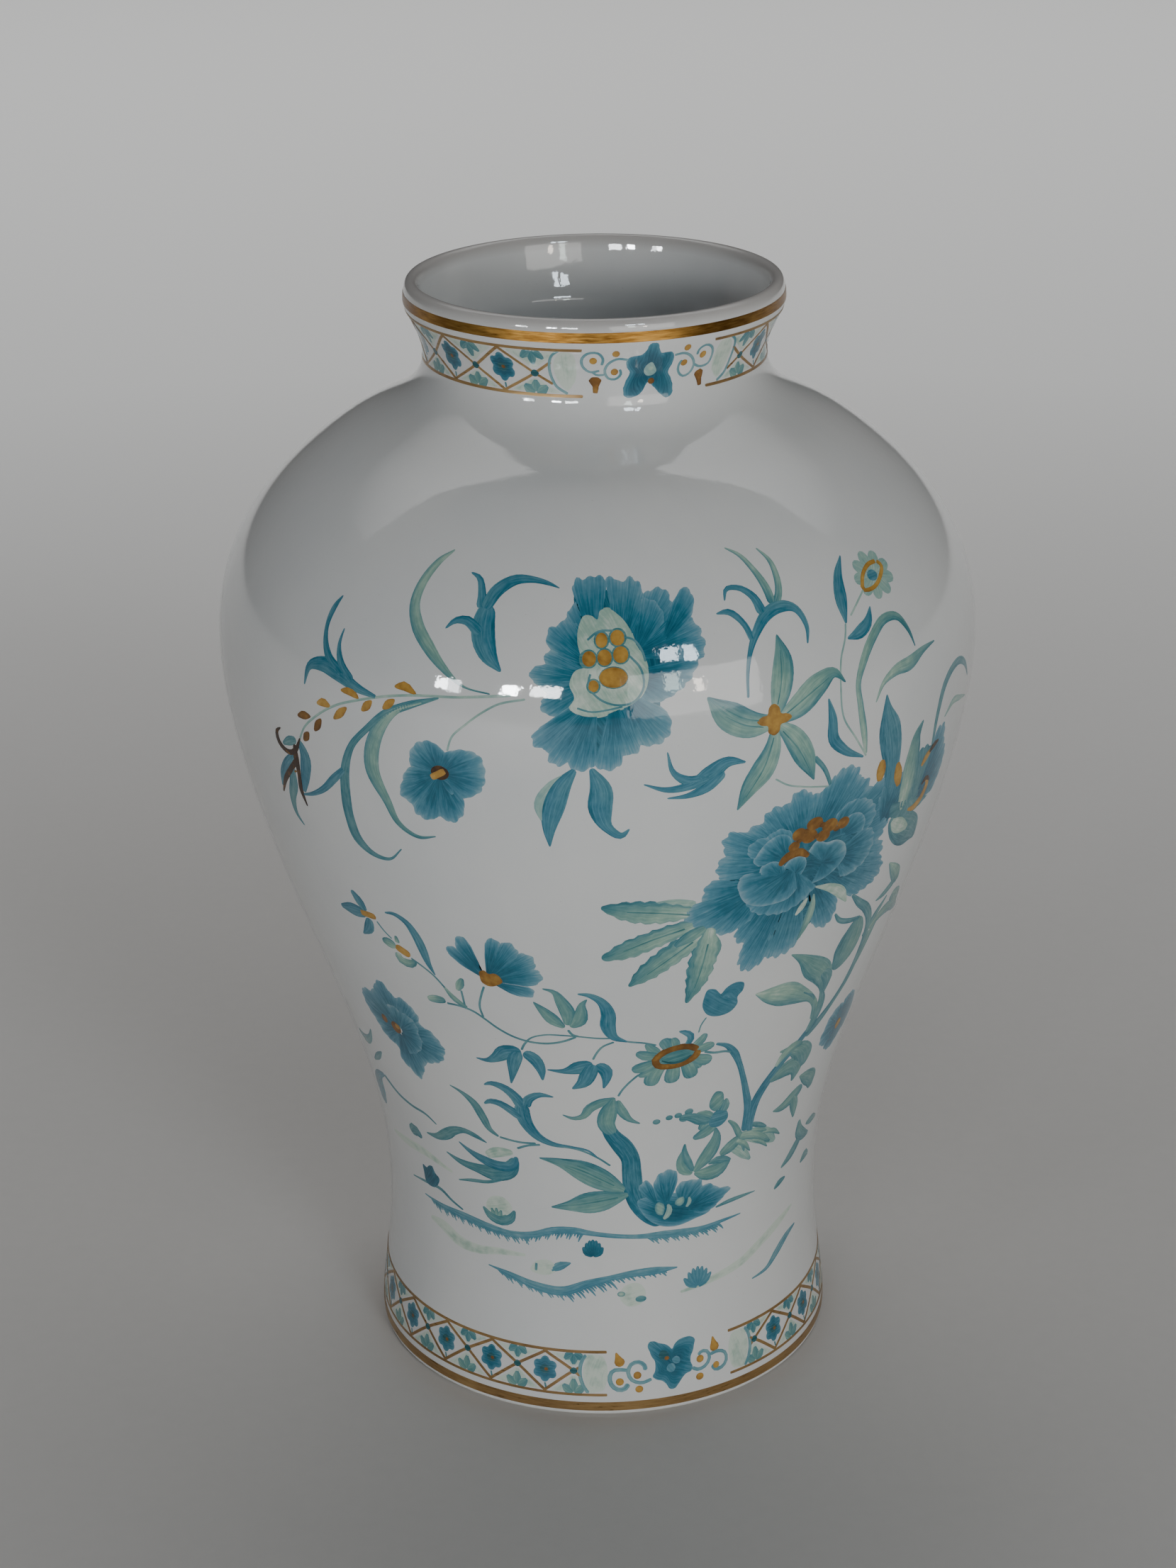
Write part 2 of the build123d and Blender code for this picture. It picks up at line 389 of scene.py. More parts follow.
# ================================================================ materials
class Look:
    """A Principled material and short calls that add nodes to it."""

    def __init__(self, name):
        self.material = bpy.data.materials.new(name)
        self.material.use_nodes = True
        self.tree = self.material.node_tree
        self.shader = self.tree.nodes["Principled BSDF"]

    def add(self, kind, inputs=None, **settings):
        """A new node. Inputs are values or the sockets that feed them."""
        node = self.tree.nodes.new("ShaderNode" + kind)
        for name, value in settings.items():
            setattr(node, name, value)
        self.feed(node, inputs or {})
        return node

    def feed(self, node, inputs):
        for name, value in inputs.items():
            if isinstance(value, bpy.types.NodeSocket):
                self.tree.links.new(value, node.inputs[name])
            else:
                node.inputs[name].default_value = value

    def value(self, name):
        """A number that the mesh carries at each vertex."""
        return self.add("Attribute", attribute_name=name, attribute_type="GEOMETRY").outputs["Fac"]

    def math(self, operation, *inputs, clamp=False):
        node = self.add("Math", dict(enumerate(inputs)), operation=operation, use_clamp=clamp)
        return node.outputs[0]

    def swing(self, amount, size):
        """Noise of 0 to 1 as a swing of that size about zero."""
        return self.math("MULTIPLY", self.math("SUBTRACT", amount, 0.5), size)

    def noise(self, scale, vector=None, detail=3.0, roughness=0.55):
        inputs = {"Scale": scale, "Detail": detail, "Roughness": roughness}
        if vector is not None:
            inputs["Vector"] = vector
        return self.add("TexNoise", inputs).outputs["Fac"]

    def ramp(self, amount, stops):
        """Colours between stops, which are (place, red, green, blue)."""
        node = self.add("ValToRGB", {"Fac": amount})
        points = node.color_ramp.elements
        while len(points) < len(stops):
            points.new(0.5)
        for point, (place, *colour) in zip(points, stops):
            point.position = place
            point.color = (*colour, 1.0)
        return node.outputs["Color"]

    def mix(self, amount, first, second):
        node = self.add("Mix", {"Factor": amount}, data_type="RGBA")
        self.feed_colour(node, 6, first)
        self.feed_colour(node, 7, second)
        return node.outputs[2]

    def feed_colour(self, node, index, value):
        if isinstance(value, bpy.types.NodeSocket):
            self.tree.links.new(value, node.inputs[index])
        else:
            node.inputs[index].default_value = (*value, 1.0)

    def bump(self, height, strength, distance):
        node = self.add("Bump", {"Height": height, "Strength": strength, "Distance": distance})
        self.feed(self.shader, {"Normal": node.outputs["Normal"]})

    def place(self):
        return self.add("TexCoord").outputs["Object"]


BARE_BELOW = 0.0004             # metres over the table: the foot ring's unglazed face
LIP_SHADE = (0.2568, 0.2592)     # metres: the lip is painted darker from the first height to the second, as painted shade


def porcelain_look():
    """White glaze, faintly cloudy, with painted shade that greys the lip, and the bare ring that the vase
    stands on.
    """
    look = Look("porcelain")
    place = look.place()
    cloud = look.noise(22.0, place, 4.0)
    glaze = look.ramp(cloud, [(0.35, 0.66, 0.665, 0.66), (0.65, 0.71, 0.705, 0.69)])
    specks = look.noise(1400.0, place, 1.0)
    speck = look.math("GREATER_THAN", specks, 0.79)
    glaze = look.mix(look.math("MULTIPLY", speck, 0.25), glaze, (0.45, 0.42, 0.38))
    height = look.add("SeparateXYZ", {"Vector": place}).outputs["Z"]
    bare = look.math("LESS_THAN", height, BARE_BELOW)
    grit = look.noise(900.0, place, 3.0)
    biscuit = look.ramp(grit, [(0.3, 0.58, 0.53, 0.46), (0.7, 0.70, 0.66, 0.60)])
    low, high = LIP_SHADE
    lip_shade = look.add("MapRange", {"Value": height, "From Min": low, "From Max": high}).outputs["Result"]
    # painted shade: the lip is mixed towards a darker grey, standing in for the dim room that it reflects
    glaze = look.mix(look.math("MULTIPLY", lip_shade, 0.75), glaze, (0.44, 0.41, 0.39))
    colour = look.mix(bare, glaze, biscuit)
    shine = look.math("MULTIPLY_ADD", cloud, 0.03, 0.015)
    rough = look.math("MAXIMUM", shine, look.math("MULTIPLY", bare, 0.6))
    look.feed(look.shader, {"Base Color": colour, "Roughness": rough, "IOR": GLAZE_IOR})
    peel = look.noise(600.0, place, 2.0)
    look.bump(peel, 0.2, 0.0001)
    return look.material


def enamel_look(name, lean):
    """Blue to green enamel whose brush hatching runs along each petal or leaf."""
    look = Look(name)
    place = look.place()
    along = look.math("MULTIPLY", look.value("length"), 0.22)
    across = look.math("MULTIPLY", look.value("breadth"), 2.6)
    brushed = look.add("CombineXYZ", {"X": across, "Y": along, "Z": look.value("shade")}).outputs[0]
    hatch = look.noise(1.0, brushed, 2.0, 0.6)
    mottle = look.noise(420.0, place, 3.0)
    wash = look.noise(90.0, place, 2.0)
    strength = look.math("SUBTRACT", 1.15, look.value("shade"), clamp=True)
    amount = look.math("MULTIPLY_ADD", look.math("SUBTRACT", hatch, 0.5), strength, look.value("shade"))
    amount = look.math("ADD", amount, look.swing(mottle, 0.35))
    amount = look.math("ADD", amount, look.swing(wash, 0.3))
    blue = look.ramp(amount, BLUE_RAMP)
    green = look.ramp(amount, GREEN_RAMP)
    tint = look.math("ADD", look.value("tint"), look.swing(wash, 0.5))
    tint = look.math("ADD", tint, lean, clamp=True)
    colour = look.mix(tint, blue, green)
    look.feed(look.shader, {"Base Color": colour, "IOR": GLAZE_IOR})
    shine = look.math("MULTIPLY_ADD", mottle, 0.05, 0.02)
    look.feed(look.shader, {"Roughness": shine})
    look.bump(look.noise(600.0, place, 2.0), 0.2, 0.0001)
    return look.material


BLUE_RAMP = [(0.0, 0.010, 0.085, 0.135), (0.3, 0.029, 0.162, 0.236), (0.6, 0.094, 0.263, 0.346),
             (1.0, 0.36, 0.49, 0.55)]
GREEN_RAMP = [(0.0, 0.015, 0.095, 0.105), (0.35, 0.075, 0.225, 0.225), (0.65, 0.19, 0.345, 0.30),
              (0.85, 0.33, 0.48, 0.39), (1.0, 0.60, 0.67, 0.585)]
OCHRE_RAMP = [(0.0, 0.045, 0.020, 0.010), (0.35, 0.23, 0.105, 0.022), (0.65, 0.48, 0.27, 0.055),
              (1.0, 0.70, 0.46, 0.15)]


def ochre_look():
    """Golden ochre, thick and uneven."""
    look = Look("ochre_enamel")
    place = look.place()
    grain = look.noise(900.0, place, 3.0)
    wash = look.noise(260.0, place, 2.0)
    amount = look.math("MULTIPLY_ADD", look.math("SUBTRACT", grain, 0.5), 0.35, look.value("shade"))
    amount = look.math("ADD", amount, look.swing(wash, 0.6))
    look.feed(look.shader, {"Base Color": look.ramp(amount, OCHRE_RAMP), "IOR": 1.5})
    shine = look.math("MULTIPLY_ADD", grain, 0.1, 0.06)
    look.feed(look.shader, {"Roughness": shine})
    look.bump(grain, 0.3, 0.00008)
    return look.material


def gilt_look(name, metallic, stops):
    """Gold with brush marks round the vase and a few thin spots."""
    look = Look(name)
    place = look.place()
    around = look.add("Mapping", {"Vector": place, "Scale": (1.0, 1.0, 9.0)}).outputs[0]
    brush = look.noise(260.0, around, 4.0)
    cloud = look.noise(38.0, place, 3.0)
    amount = look.math("MULTIPLY_ADD", look.math("SUBTRACT", brush, 0.5), 0.7, cloud)
    look.feed(look.shader, {"Base Color": look.ramp(amount, stops), "Metallic": metallic})
    shine = look.math("MULTIPLY_ADD", brush, 0.22, 0.2)
    look.feed(look.shader, {"Roughness": shine})
    look.bump(brush, 0.25, 0.00006)
    return look.material


BURNISHED = [(0.25, 0.08, 0.030, 0.007), (0.5, 0.215, 0.102, 0.021), (0.8, 0.47, 0.260, 0.065)]
MATT = [(0.25, 0.19, 0.105, 0.036), (0.5, 0.305, 0.180, 0.065), (0.8, 0.44, 0.28, 0.11)]


def floor_look():
    """A plain pale table top with painted light: its colour is darker near the vase and lighter far from it.
    """
    look = Look("floor")
    place = look.place()
    cloud = look.noise(3.0, place, 4.0)
    grain = look.noise(240.0, place, 3.0)
    amount = look.math("MULTIPLY_ADD", grain, 0.25, look.math("MULTIPLY", cloud, 0.75))
    # painted light: this darker colour near the vase blends into a lighter one far from it
    near = look.ramp(amount, [(0.3, 0.50, 0.485, 0.465), (0.7, 0.55, 0.53, 0.51)])
    distance = look.add("VectorMath", {0: place}, operation="LENGTH").outputs["Value"]
    painted_light_share = look.add("MapRange", {"Value": distance, "From Min": 0.12, "From Max": 0.9}).outputs["Result"]
    colour = look.mix(painted_light_share, near, (0.80, 0.80, 0.79))
    look.feed(look.shader, {"Base Color": colour, "Roughness": 0.6})
    look.bump(grain, 0.1, 0.0003)
    return look.material


LOOKS = {
    "porcelain": porcelain_look(),
    "gilding": gilt_look("gilding", 1.0, BURNISHED),
    "matt_gilding": gilt_look("matt_gilding", 0.4, MATT),
    "blue_enamel": enamel_look("blue_enamel", 0.0),
    "green_enamel": enamel_look("green_enamel", 0.05),
    "ochre_enamel": ochre_look(),
}


# ================================================================ pieces
def smooth_mesh(name, points, faces, look):
    """A mesh with round shading, in one of the looks."""
    mesh = bpy.data.meshes.new(name)
    mesh.from_pydata(points.tolist(), [], faces)
    mesh.polygons.foreach_set("use_smooth", np.ones(len(faces), bool))
    mesh.materials.append(LOOKS[look])
    return mesh


def placed(name, data):
    """A new object in the scene."""
    made = bpy.data.objects.new(name, data)
    bpy.context.scene.collection.objects.link(made)
    return made


def piece(name, slot, shells, look=None):
    """One object made of closed shells, with the finish of its material slot unless another is named."""
    starts = np.cumsum([0] + [len(part["points"]) for part in shells])
    points = np.vstack([part["points"] for part in shells])
    faces = [[corner + start for corner in face] for part, start in zip(shells, starts)
             for face in part["faces"]]
    mesh = smooth_mesh(name, points, faces, look or slot)
    for key in ("shade", "tint", "length", "breadth"):
        layer = mesh.attributes.new(key, "FLOAT", "POINT")
        layer.data.foreach_set("value", np.concatenate([part[key] for part in shells]).astype(np.float32))
    normals = np.vstack([part["normals"] for part in shells])
    mesh.normals_split_custom_set_from_vertices(normals.tolist())
    made = placed(name, mesh)
    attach(made, "root")
    return made


def on_both_sides(name, slot, shells, look=None):
    """The piece on the front and the same one half a turn round, on the back."""
    front = piece("front_" + name, slot, shells, look)
    mesh = front.data.copy()
    mesh.transform(Matrix.Rotation(math.pi, 4, "Z"))
    mesh.name = "back_" + name
    back = placed(mesh.name, mesh)
    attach(back, "root")


def section():
    """The body's whole section as (radius, height), from the middle of the recess round to the floor."""
    ring_inner = FOOT_RADIUS - FOOT_RING_WIDTH
    recess_edge = ring_inner - FOOT_RING_TAPER
    rounding = FOOT_EDGE_ROUNDING
    quarter = np.linspace(-math.pi / 2, 0, 8)
    foot_corner = np.column_stack([
        FOOT_RADIUS - rounding + rounding * np.cos(quarter),
        rounding + rounding * np.sin(quarter),
    ])
    wall = clamped_spline(OUTSIDE_STATIONS, FOOT_RUN, RIM_RUN, SECTION_STEP)
    run = np.gradient(wall, axis=0)
    run /= np.linalg.norm(run, axis=1)[:, None]
    thickness = WALL_AT_FOOT + (WALL_AT_NECK - WALL_AT_FOOT) * wall[:, 1] / HEIGHT
    inner = wall + np.column_stack([-run[:, 1], run[:, 0]]) * thickness[:, None]
    first, last = (int(share * len(wall)) for share in INSIDE_SHARES)
    inner = inner[first:last + 1]
    low_run, high_run = run[first], run[last]
    throat = (BORE_RADIUS, inner[-1, 1] + (BORE_RADIUS - inner[-1, 0]) / high_run[0] * high_run[1])
    floor_corner = (inner[0, 0] - low_run[0] / low_run[1] * (inner[0, 1] - FLOOR_TOP), FLOOR_TOP)
    crest = (LIP_CREST_RADIUS, HEIGHT)
    return np.vstack([
        straight((CAP_RADIUS, RECESS_DEPTH), (recess_edge - 1, RECESS_DEPTH), 12),
        bezier((recess_edge - 0.9, RECESS_DEPTH), (recess_edge, RECESS_DEPTH),
               (recess_edge + 0.4, RECESS_DEPTH - 0.9), 6),
        bezier((ring_inner - 0.3, 0.6), (ring_inner, 0), (ring_inner + 0.6, 0), 6),
        straight((ring_inner + 1.2, 0), (FOOT_RADIUS - rounding - 0.3, 0), 5),
        foot_corner,
        straight((FOOT_RADIUS, 1.5), (FOOT_RADIUS, 3.2), 3),
        wall,
        straight(OUTSIDE_STATIONS[-1], RIM_BAND_TOP, 4)[1:],
        bezier(RIM_BAND_TOP, (RIM_BAND_TOP[0] - 0.1, HEIGHT), crest, 10)[1:],
        bezier(crest, (LIP_INSIDE[0] + 0.3, HEIGHT), LIP_INSIDE, 10)[1:],
        bezier(LIP_INSIDE, THROAT_BEND, (BORE_RADIUS, BORE_TOP), 9)[1:],
        straight((BORE_RADIUS, BORE_TOP - 2), (BORE_RADIUS, BORE_BOTTOM), 3),
        bezier((BORE_RADIUS, BORE_BOTTOM), throat, inner[-1], 8)[1:],
        inner[-2::-1],
        bezier(inner[0], floor_corner, (FLOOR_RADIUS, FLOOR_TOP), 8)[1:],
        straight((FLOOR_RADIUS - 3, FLOOR_TOP), (CAP_RADIUS, FLOOR_TOP), 12),
    ])


def revolved(profile, turns):
    """A solid of revolution, closed by a small cap at each end of the profile."""
    angle = np.linspace(0, 2 * math.pi, turns, endpoint=False)
    ring = np.stack([np.sin(angle), -np.cos(angle)], -1)
    flat = profile[:, None, :1] * ring[None]
    height = np.broadcast_to(profile[:, None, 1:], (len(profile), turns, 1))
    points = np.concatenate([flat, height], -1).reshape(-1, 3) * MM
    ids = np.arange(len(points)).reshape(len(profile), turns)
    after = np.roll(ids, -1, axis=1)
    quads = np.stack([ids[:-1], after[:-1], after[1:], ids[1:]], -1).reshape(-1, 4)
    return points, [*quads.tolist(), ids[0, ::-1].tolist(), ids[-1].tolist()]


def body():
    """The porcelain casting."""
    points, faces = revolved(section(), TURNS)
    made = placed("vase_body", smooth_mesh("vase_body", points, faces, "porcelain"))
    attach(made, "root")
    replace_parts(made, "porcelain_body")


def gilt_strip(heights, thickness, start, end):
    """A pillow-shaped strip of gilding, which runs all round if its angles are a turn apart."""
    low, high = heights
    full = end - start >= 360
    count = int((end - start) / STRIP_STEP) + 1
    angle = np.linspace(start, end, count)
    if full:
        angle = angle[:-1]
    across = np.array([-1, -0.94, -0.8, -0.4, 0, 0.4, 0.8, 0.94, 1])
    height = (low + high) / 2 + (high - low) / 2 * across
    places = np.stack(np.broadcast_arrays(angle[:, None], height[None, :]), -1)
    lift = thickness * (1 - 0.75 * across**6)[None, :] * np.ones((len(angle), 1))
    middle = radius_at((low + high) / 2) * math.pi / 180
    return shell(places, lift, 0.5, 0.0, angle[:, None] * middle, across[None, :], loop=full)


def gilding():
    """The two bands and the borders' lines."""
    for node, heights, look in (("rim_gilt_band", RIM_BAND, "gilding"),
                                ("foot_gilt_band", FOOT_BAND, "matt_gilding")):
        band = gilt_strip(heights, BAND_THICKNESS, 0, 360)
        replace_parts(piece("painted_" + node, "gilding", [band], look), node)
    for border, lines, gap in (("neck", NECK_LINES, NECK_GAP), ("foot", FOOT_LINES, FOOT_GAP)):
        for end, heights in zip(("upper", "lower"), lines):
            node = f"{border}_border_{end}_gilt_line"
            arcs = [gilt_strip(heights, LINE_THICKNESS, STAR + gap / 2 + turn, STAR - gap / 2 + 180 + turn)
                    for turn in (0, 180)]
            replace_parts(piece("painted_" + node, "gilding", arcs, "matt_gilding"), node)


# ================================================================ borders
def mirrored(places, middle):
    """The same places on the other side of a middle angle."""
    return [(2 * middle - angle, *rest) for angle, *rest in places]


def both_ways(make, spine, *rest, **named):
    """A shell and its mirror image about the star flower."""
    return [make(spine, *rest, **named), make(mirrored(spine, STAR), *rest, **named)]


def rosette(centre, width, tall, lobes, style, level=0, turn=0.0):
    """A round flower with scalloped edges."""
    scale = radius_at(centre[1]) * math.pi / 180
    rim = []
    for corner in range(lobes * 4):
        angle = 2 * math.pi * corner / (lobes * 4)
        swell = 0.76 + 0.24 * abs(math.cos(lobes / 2 * (angle - turn)))
        rim.append((centre[0] + math.cos(angle) * swell * width / 2 / scale,
                    centre[1] + math.sin(angle) * swell * tall / 2))
    return blob(rim, style, level)


def fan(root, reach, span, style, level=0, width=1.6, count=5):
    """Small leaves that open from a root place. A negative reach points them down."""
    leaves = []
    for side in np.linspace(-1, 1, count):
        rise = reach * (1 - 0.45 * side**2)
        bend = (root[0] + span * side * 0.55, root[1] + rise * 0.4)
        tip = (root[0] + span * side, root[1] + rise)
        leaves.append(leaf([root, bend, tip], [width * 0.4, width, width * 0.25], style, level))
    return leaves


def trellis(border, low, middle, high, first, pitch, count, end_share, flower, bloom, line):
    """A panel of gilt lattice with a blue flower in each diamond, and sprigs from both gilt lines.

    The lattice crosses at the middle height. Past its first and last crossing it runs on for only
    a share of half a diamond.
    """
    half = pitch / 2 + 0.3
    lattice, flowers, hearts, sprigs = [], [], [], []
    for crossing in range(count):
        at = STAR + first + crossing * pitch
        before = end_share if crossing == 0 else 1
        after = end_share if crossing == count - 1 else 1
        for near, far, level in ((low, high, 2), (high, low, 3)):
            start = (at - half * before, middle + (near - middle) * before)
            end = (at + half * after, middle + (far - middle) * after)
            lattice.append(leaf([start, (at, middle), end], line, "gilt", level))
        sprigs.append(dot((at, middle), 1.9, 1.7, "knot", 4))
        sprigs += fan((at, high - 0.3), (middle - high) * 0.62, pitch * 0.17, "teal", 1, 2.2, 3)
        sprigs += fan((at, low + 0.3), (middle - low) * 0.64, pitch * 0.19, "sea", 1, 2.5, 3)
        for edge, rise in ((high - 0.5, 1.2), (low + 0.5, -1.2)):
            corner = half * 0.74
            ground = [(at, middle + rise), (at + corner * 0.5, (middle + rise + edge) / 2),
                      (at + corner, edge), (at, edge), (at - corner, edge),
                      (at - corner * 0.5, (middle + rise + edge) / 2)]
            sprigs.append(blob(ground, "wash", 0, (at, middle + (edge - middle) * 0.62)))
        if crossing < count - 1:
            centre = (at + pitch / 2, middle + flower[2])
            flowers.append(rosette(centre, flower[0], flower[1], 6, bloom, 1, 0.5))
            flowers.append(dot(centre, 2.6, 2.4, "knot", 2))
            hearts.append(dot((centre[0] + 0.3, centre[1]), 1.1, 1.0, "russet", 3))
            sprigs.append(leaf([(centre[0], centre[1] - flower[1] / 2), (centre[0] + 0.4, low + 0.6)], 0.5,
                               "teal"))
    on_both_sides(f"{border}_trellis_lattice", "gilding", lattice, "matt_gilding")
    on_both_sides(f"{border}_trellis_flowers", "blue_enamel", flowers)
    on_both_sides(f"{border}_trellis_flower_hearts", "ochre_enamel", hearts)
    on_both_sides(f"{border}_trellis_sprigs", "green_enamel", sprigs)


def neck_border():
    """The neck's trellis, and between its panels the star flower with ringlets and ochre drops."""
    trellis("neck", 243.0, 247.6, 253.3, 36.0, 21.6, 6, 0.52, (6.3, 7.2, 0.8), "blossom", 0.72)
    bracket = [(-8.5, 243.2), (-12.2, 244.8), (-13.9, 247.5), (-13.9, 250), (-12.6, 252.3), (-10.2, 253.6)]
    crescent = [(-8.8, 243.8), (-11.5, 245.6), (-12.8, 248.2), (-12.3, 251), (-10, 253), (-6.6, 252.8),
                (-5.6, 249.5), (-6.4, 245.6)]
    on_both_sides("neck_panel_ends", "green_enamel",
                  both_ways(leaf, bracket, 0.7, "scroll", 3) + both_ways(blob, crescent, "wash"))
    star = [(17.2, 255), (15.9, 254.4), (15.2, 253.2), (13.9, 252.2), (12, 252), (10, 251.6), (9.2, 250.5),
            (9.6, 249.1), (10.6, 247.9), (9.7, 246.4), (8.8, 244.8), (8.5, 243.2), (9.6, 242),
            (12.2, 242.1), (14.8, 243.1), (17, 245.2), (18.8, 244.1), (20.9, 242.5), (23.2, 241.3),
            (25.1, 241.7), (25.8, 243.4), (25, 245.6), (23.7, 247.4), (24.5, 249), (24.7, 250.8),
            (23.6, 252.2), (21.6, 252.3), (20, 252.3), (19.2, 253.4), (18.5, 254.6)]
    on_both_sides("neck_star_flower", "blue_enamel", [
        blob(star, "blossom", 0, (17.2, 248)),
        blob([(16, 249.6), (17.4, 250.2), (18.6, 249.2), (19.4, 247.6), (18.2, 246.9), (16.2, 246.9),
              (15.2, 247.8)],
             "pale", 3),
        dot((17.4, 248.6), 1.2, 1.4, "mint", 4),
    ])
    on_both_sides("neck_ringlets", "blue_enamel", many(
        leaf, "scroll", 0,
        ([(1.6, 248.6), (-1.6, 248.3), (-3.7, 249.6), (-3.8, 251.6), (-1.8, 252.9), (0.8, 252.9),
          (2.4, 251.4), (2, 249.8)], 0.7),
        ([(-1, 248.4), (0.4, 247.6), (3, 247.6)], 0.6),
        ([(10.2, 251), (6.6, 251.3), (3.8, 250), (3, 248.4), (4.2, 246.7), (6.4, 246.5), (8, 247.6),
          (7.6, 248.9)], 0.7),
        ([(24.4, 251.2), (27.6, 251.4), (31, 250), (32.4, 248), (31.2, 246.3), (29, 245.8), (27.2, 246.8),
          (26.8, 248.6), (27.6, 249.8)], 0.7),
        ([(32, 248.4), (35, 247.4), (38, 247.8), (38.7, 249.8), (37.2, 251.9), (34.8, 252.6), (32.8, 251.8),
          (32.6, 250.4)], 0.7),
    ))
    on_both_sides("neck_star_drops", "ochre_enamel", [
        dot((17.9, 245.6), 1.5, 1.5, "russet", 4),
        dot((-0.5, 251), 1.7, 1.7, "ochre", 1), dot((6, 248.2), 1.7, 1.7, "ochre", 1),
        dot((6.2, 252.6), 1.7, 1.6, "ochre"), dot((28.5, 249), 1.7, 1.6, "ochre", 1),
        dot((28.3, 252.7), 1.7, 1.6, "ochre"), dot((34.8, 250.3), 1.7, 1.8, "ochre", 1),
        leaf([(0, 247.3), (0, 246.4), (0.2, 245), (0, 243.2)], [1.6, 3.0, 1.5, 1.3], "russet"),
        leaf([(34.2, 246.8), (34.8, 246), (35.2, 244.6), (35.5, 242.9)], [1.6, 2.6, 1.5, 1.3], "russet"),
    ])


def foot_border():
    """The foot's trellis, and between its panels the star flower with ringlets and ochre drops."""
    trellis("foot", 5.8, 11.6, 16.2, 24.5, 14.55, 10, 0.26, (6.3, 6.9, -0.2), "faded_blossom", 0.8)
    bracket = [(-3.8, 5.9), (-5, 7.6), (-5.8, 9.6), (-6, 12), (-5.6, 14), (-4.4, 15.9)]
    crescent = [(-3.6, 6.6), (-4.8, 8.6), (-5.3, 10.8), (-5.1, 13.2), (-4, 15.4), (-0.4, 15.7), (0.9, 12.8),
                (0.8, 9.4), (-0.2, 6.6)]
    on_both_sides("foot_panel_ends", "green_enamel",
                  both_ways(leaf, bracket, 1.0, "scroll", 3) + both_ways(blob, crescent, "wash"))
    star = [(10.9, 17.5), (11.4, 18.5), (12.6, 18.6), (14, 17.9), (15.4, 17.5), (16.5, 16.8), (17.4, 15.9),
            (18.1, 17), (19.2, 17.9), (20.9, 18.3), (22.6, 18.2), (23.8, 17.2), (23.5, 15.8), (23.1, 14.3),
            (22.4, 12.9), (22.3, 11.6), (22.8, 10.2), (22.4, 9.2), (20.9, 8.7), (19.7, 7.6), (18.7, 6.3),
            (17.6, 5.3), (16.4, 5.5), (15.6, 6.8), (14.5, 7.9), (12.9, 8.5), (12, 9.4), (12.6, 10.6),
            (12.8, 12.2), (12.7, 13.3), (11.9, 14.6), (11.4, 16)]
    on_both_sides("foot_star_flower", "blue_enamel", [
        blob(star, "faded_blossom", 0, (17.2, 12)),
        blob([(13.8, 14.6), (14.6, 15.9), (15.8, 15.6), (16.6, 14.2), (15.8, 13.1), (14.5, 13.4)], "knot", 2),
        blob([(17.2, 13.2), (18.5, 13.9), (19.4, 13), (19.2, 12), (18, 11.9)], "faded", 3),
        blob([(16.2, 12), (17.6, 12.1), (18.1, 10.9), (17.4, 9.9), (16.2, 10.2), (15.7, 11.1)], "faded", 4),
    ])
    on_both_sides("foot_ringlets", "blue_enamel", many(
        leaf, "scroll", 0,
        ([(12, 8.9), (9.2, 8.2), (6.9, 9.1), (6, 11.2), (6.8, 13.1), (8.6, 13.6), (10.1, 12.6), (10.4, 11.2)],
         [0.9, 1.0, 1.1, 1.2]),
        ([(6.2, 11.6), (4.2, 11.9), (2.2, 11.7), (1.4, 10.2), (1.9, 8), (3.4, 6.8), (5, 6.9), (6.1, 8.3)],
         [0.9, 1.1, 1.2, 1.4]),
        ([(22.4, 10), (24.2, 9.1), (26.2, 9.6), (27.4, 11.2), (27, 13), (25.4, 13.5), (24.2, 12.7)], 1.0),
        ([(27.6, 12.1), (29.8, 12.4), (31.8, 11.6), (32.3, 9.6), (31, 8), (29.2, 7.9), (28.1, 9.4)],
         [1.0, 0.9, 1.0, 1.5]),
    ))
    on_both_sides("foot_star_drops", "ochre_enamel", [
        dot((15.9, 13.7), 1.3, 1.1, "russet", 4),
        dot((8.3, 10.2), 2, 2, "ochre", 1), dot((3.9, 8.8), 2, 2, "ochre", 1),
        dot((8.7, 6.6), 2, 1.9, "ochre"), dot((24.8, 11.7), 2, 2, "ochre", 1),
        dot((29.2, 9), 1.8, 1.8, "ochre", 1), dot((24.5, 7.2), 2.1, 1.9, "ochre"),
        leaf([(4.5, 12.7), (3.9, 13.9), (3.5, 15), (3, 16.4)], [1.6, 2.7, 1.5, 0.3], "ochre"),
        leaf([(29.3, 12.5), (29, 13.8), (28.8, 15), (28.6, 16.6)], [1.6, 2.7, 1.5, 0.3], "ochre"),
    ])


# ================================================================ the flower spray
def many(make, style, level, *shapes, **named):
    """Shells of one style, each from its own outline and widths."""
    return [make(*shape, style, level, **named) for shape in shapes]


BERRY = [0.4, 1.5, 2.1, 1.5, 0.4]       # widths along a berry


def hairs(spine, start, end, step, length, lean, style):
    """Short slanted brush hairs that hang below a ground line."""
    line = np.array(spine, float)
    made = []
    for angle in np.arange(start, end, step):
        height = float(np.interp(angle, line[:, 0], line[:, 1]))
        reach = length * (0.75 + 0.25 * math.sin(angle * 2.3))
        tip = (angle + lean * reach, height - reach)
        made.append(leaf([(angle, height), (angle + lean * reach * 0.6, height - reach * 0.5), tip],
                         [0.9, 0.65, 0.2], style))
    return made


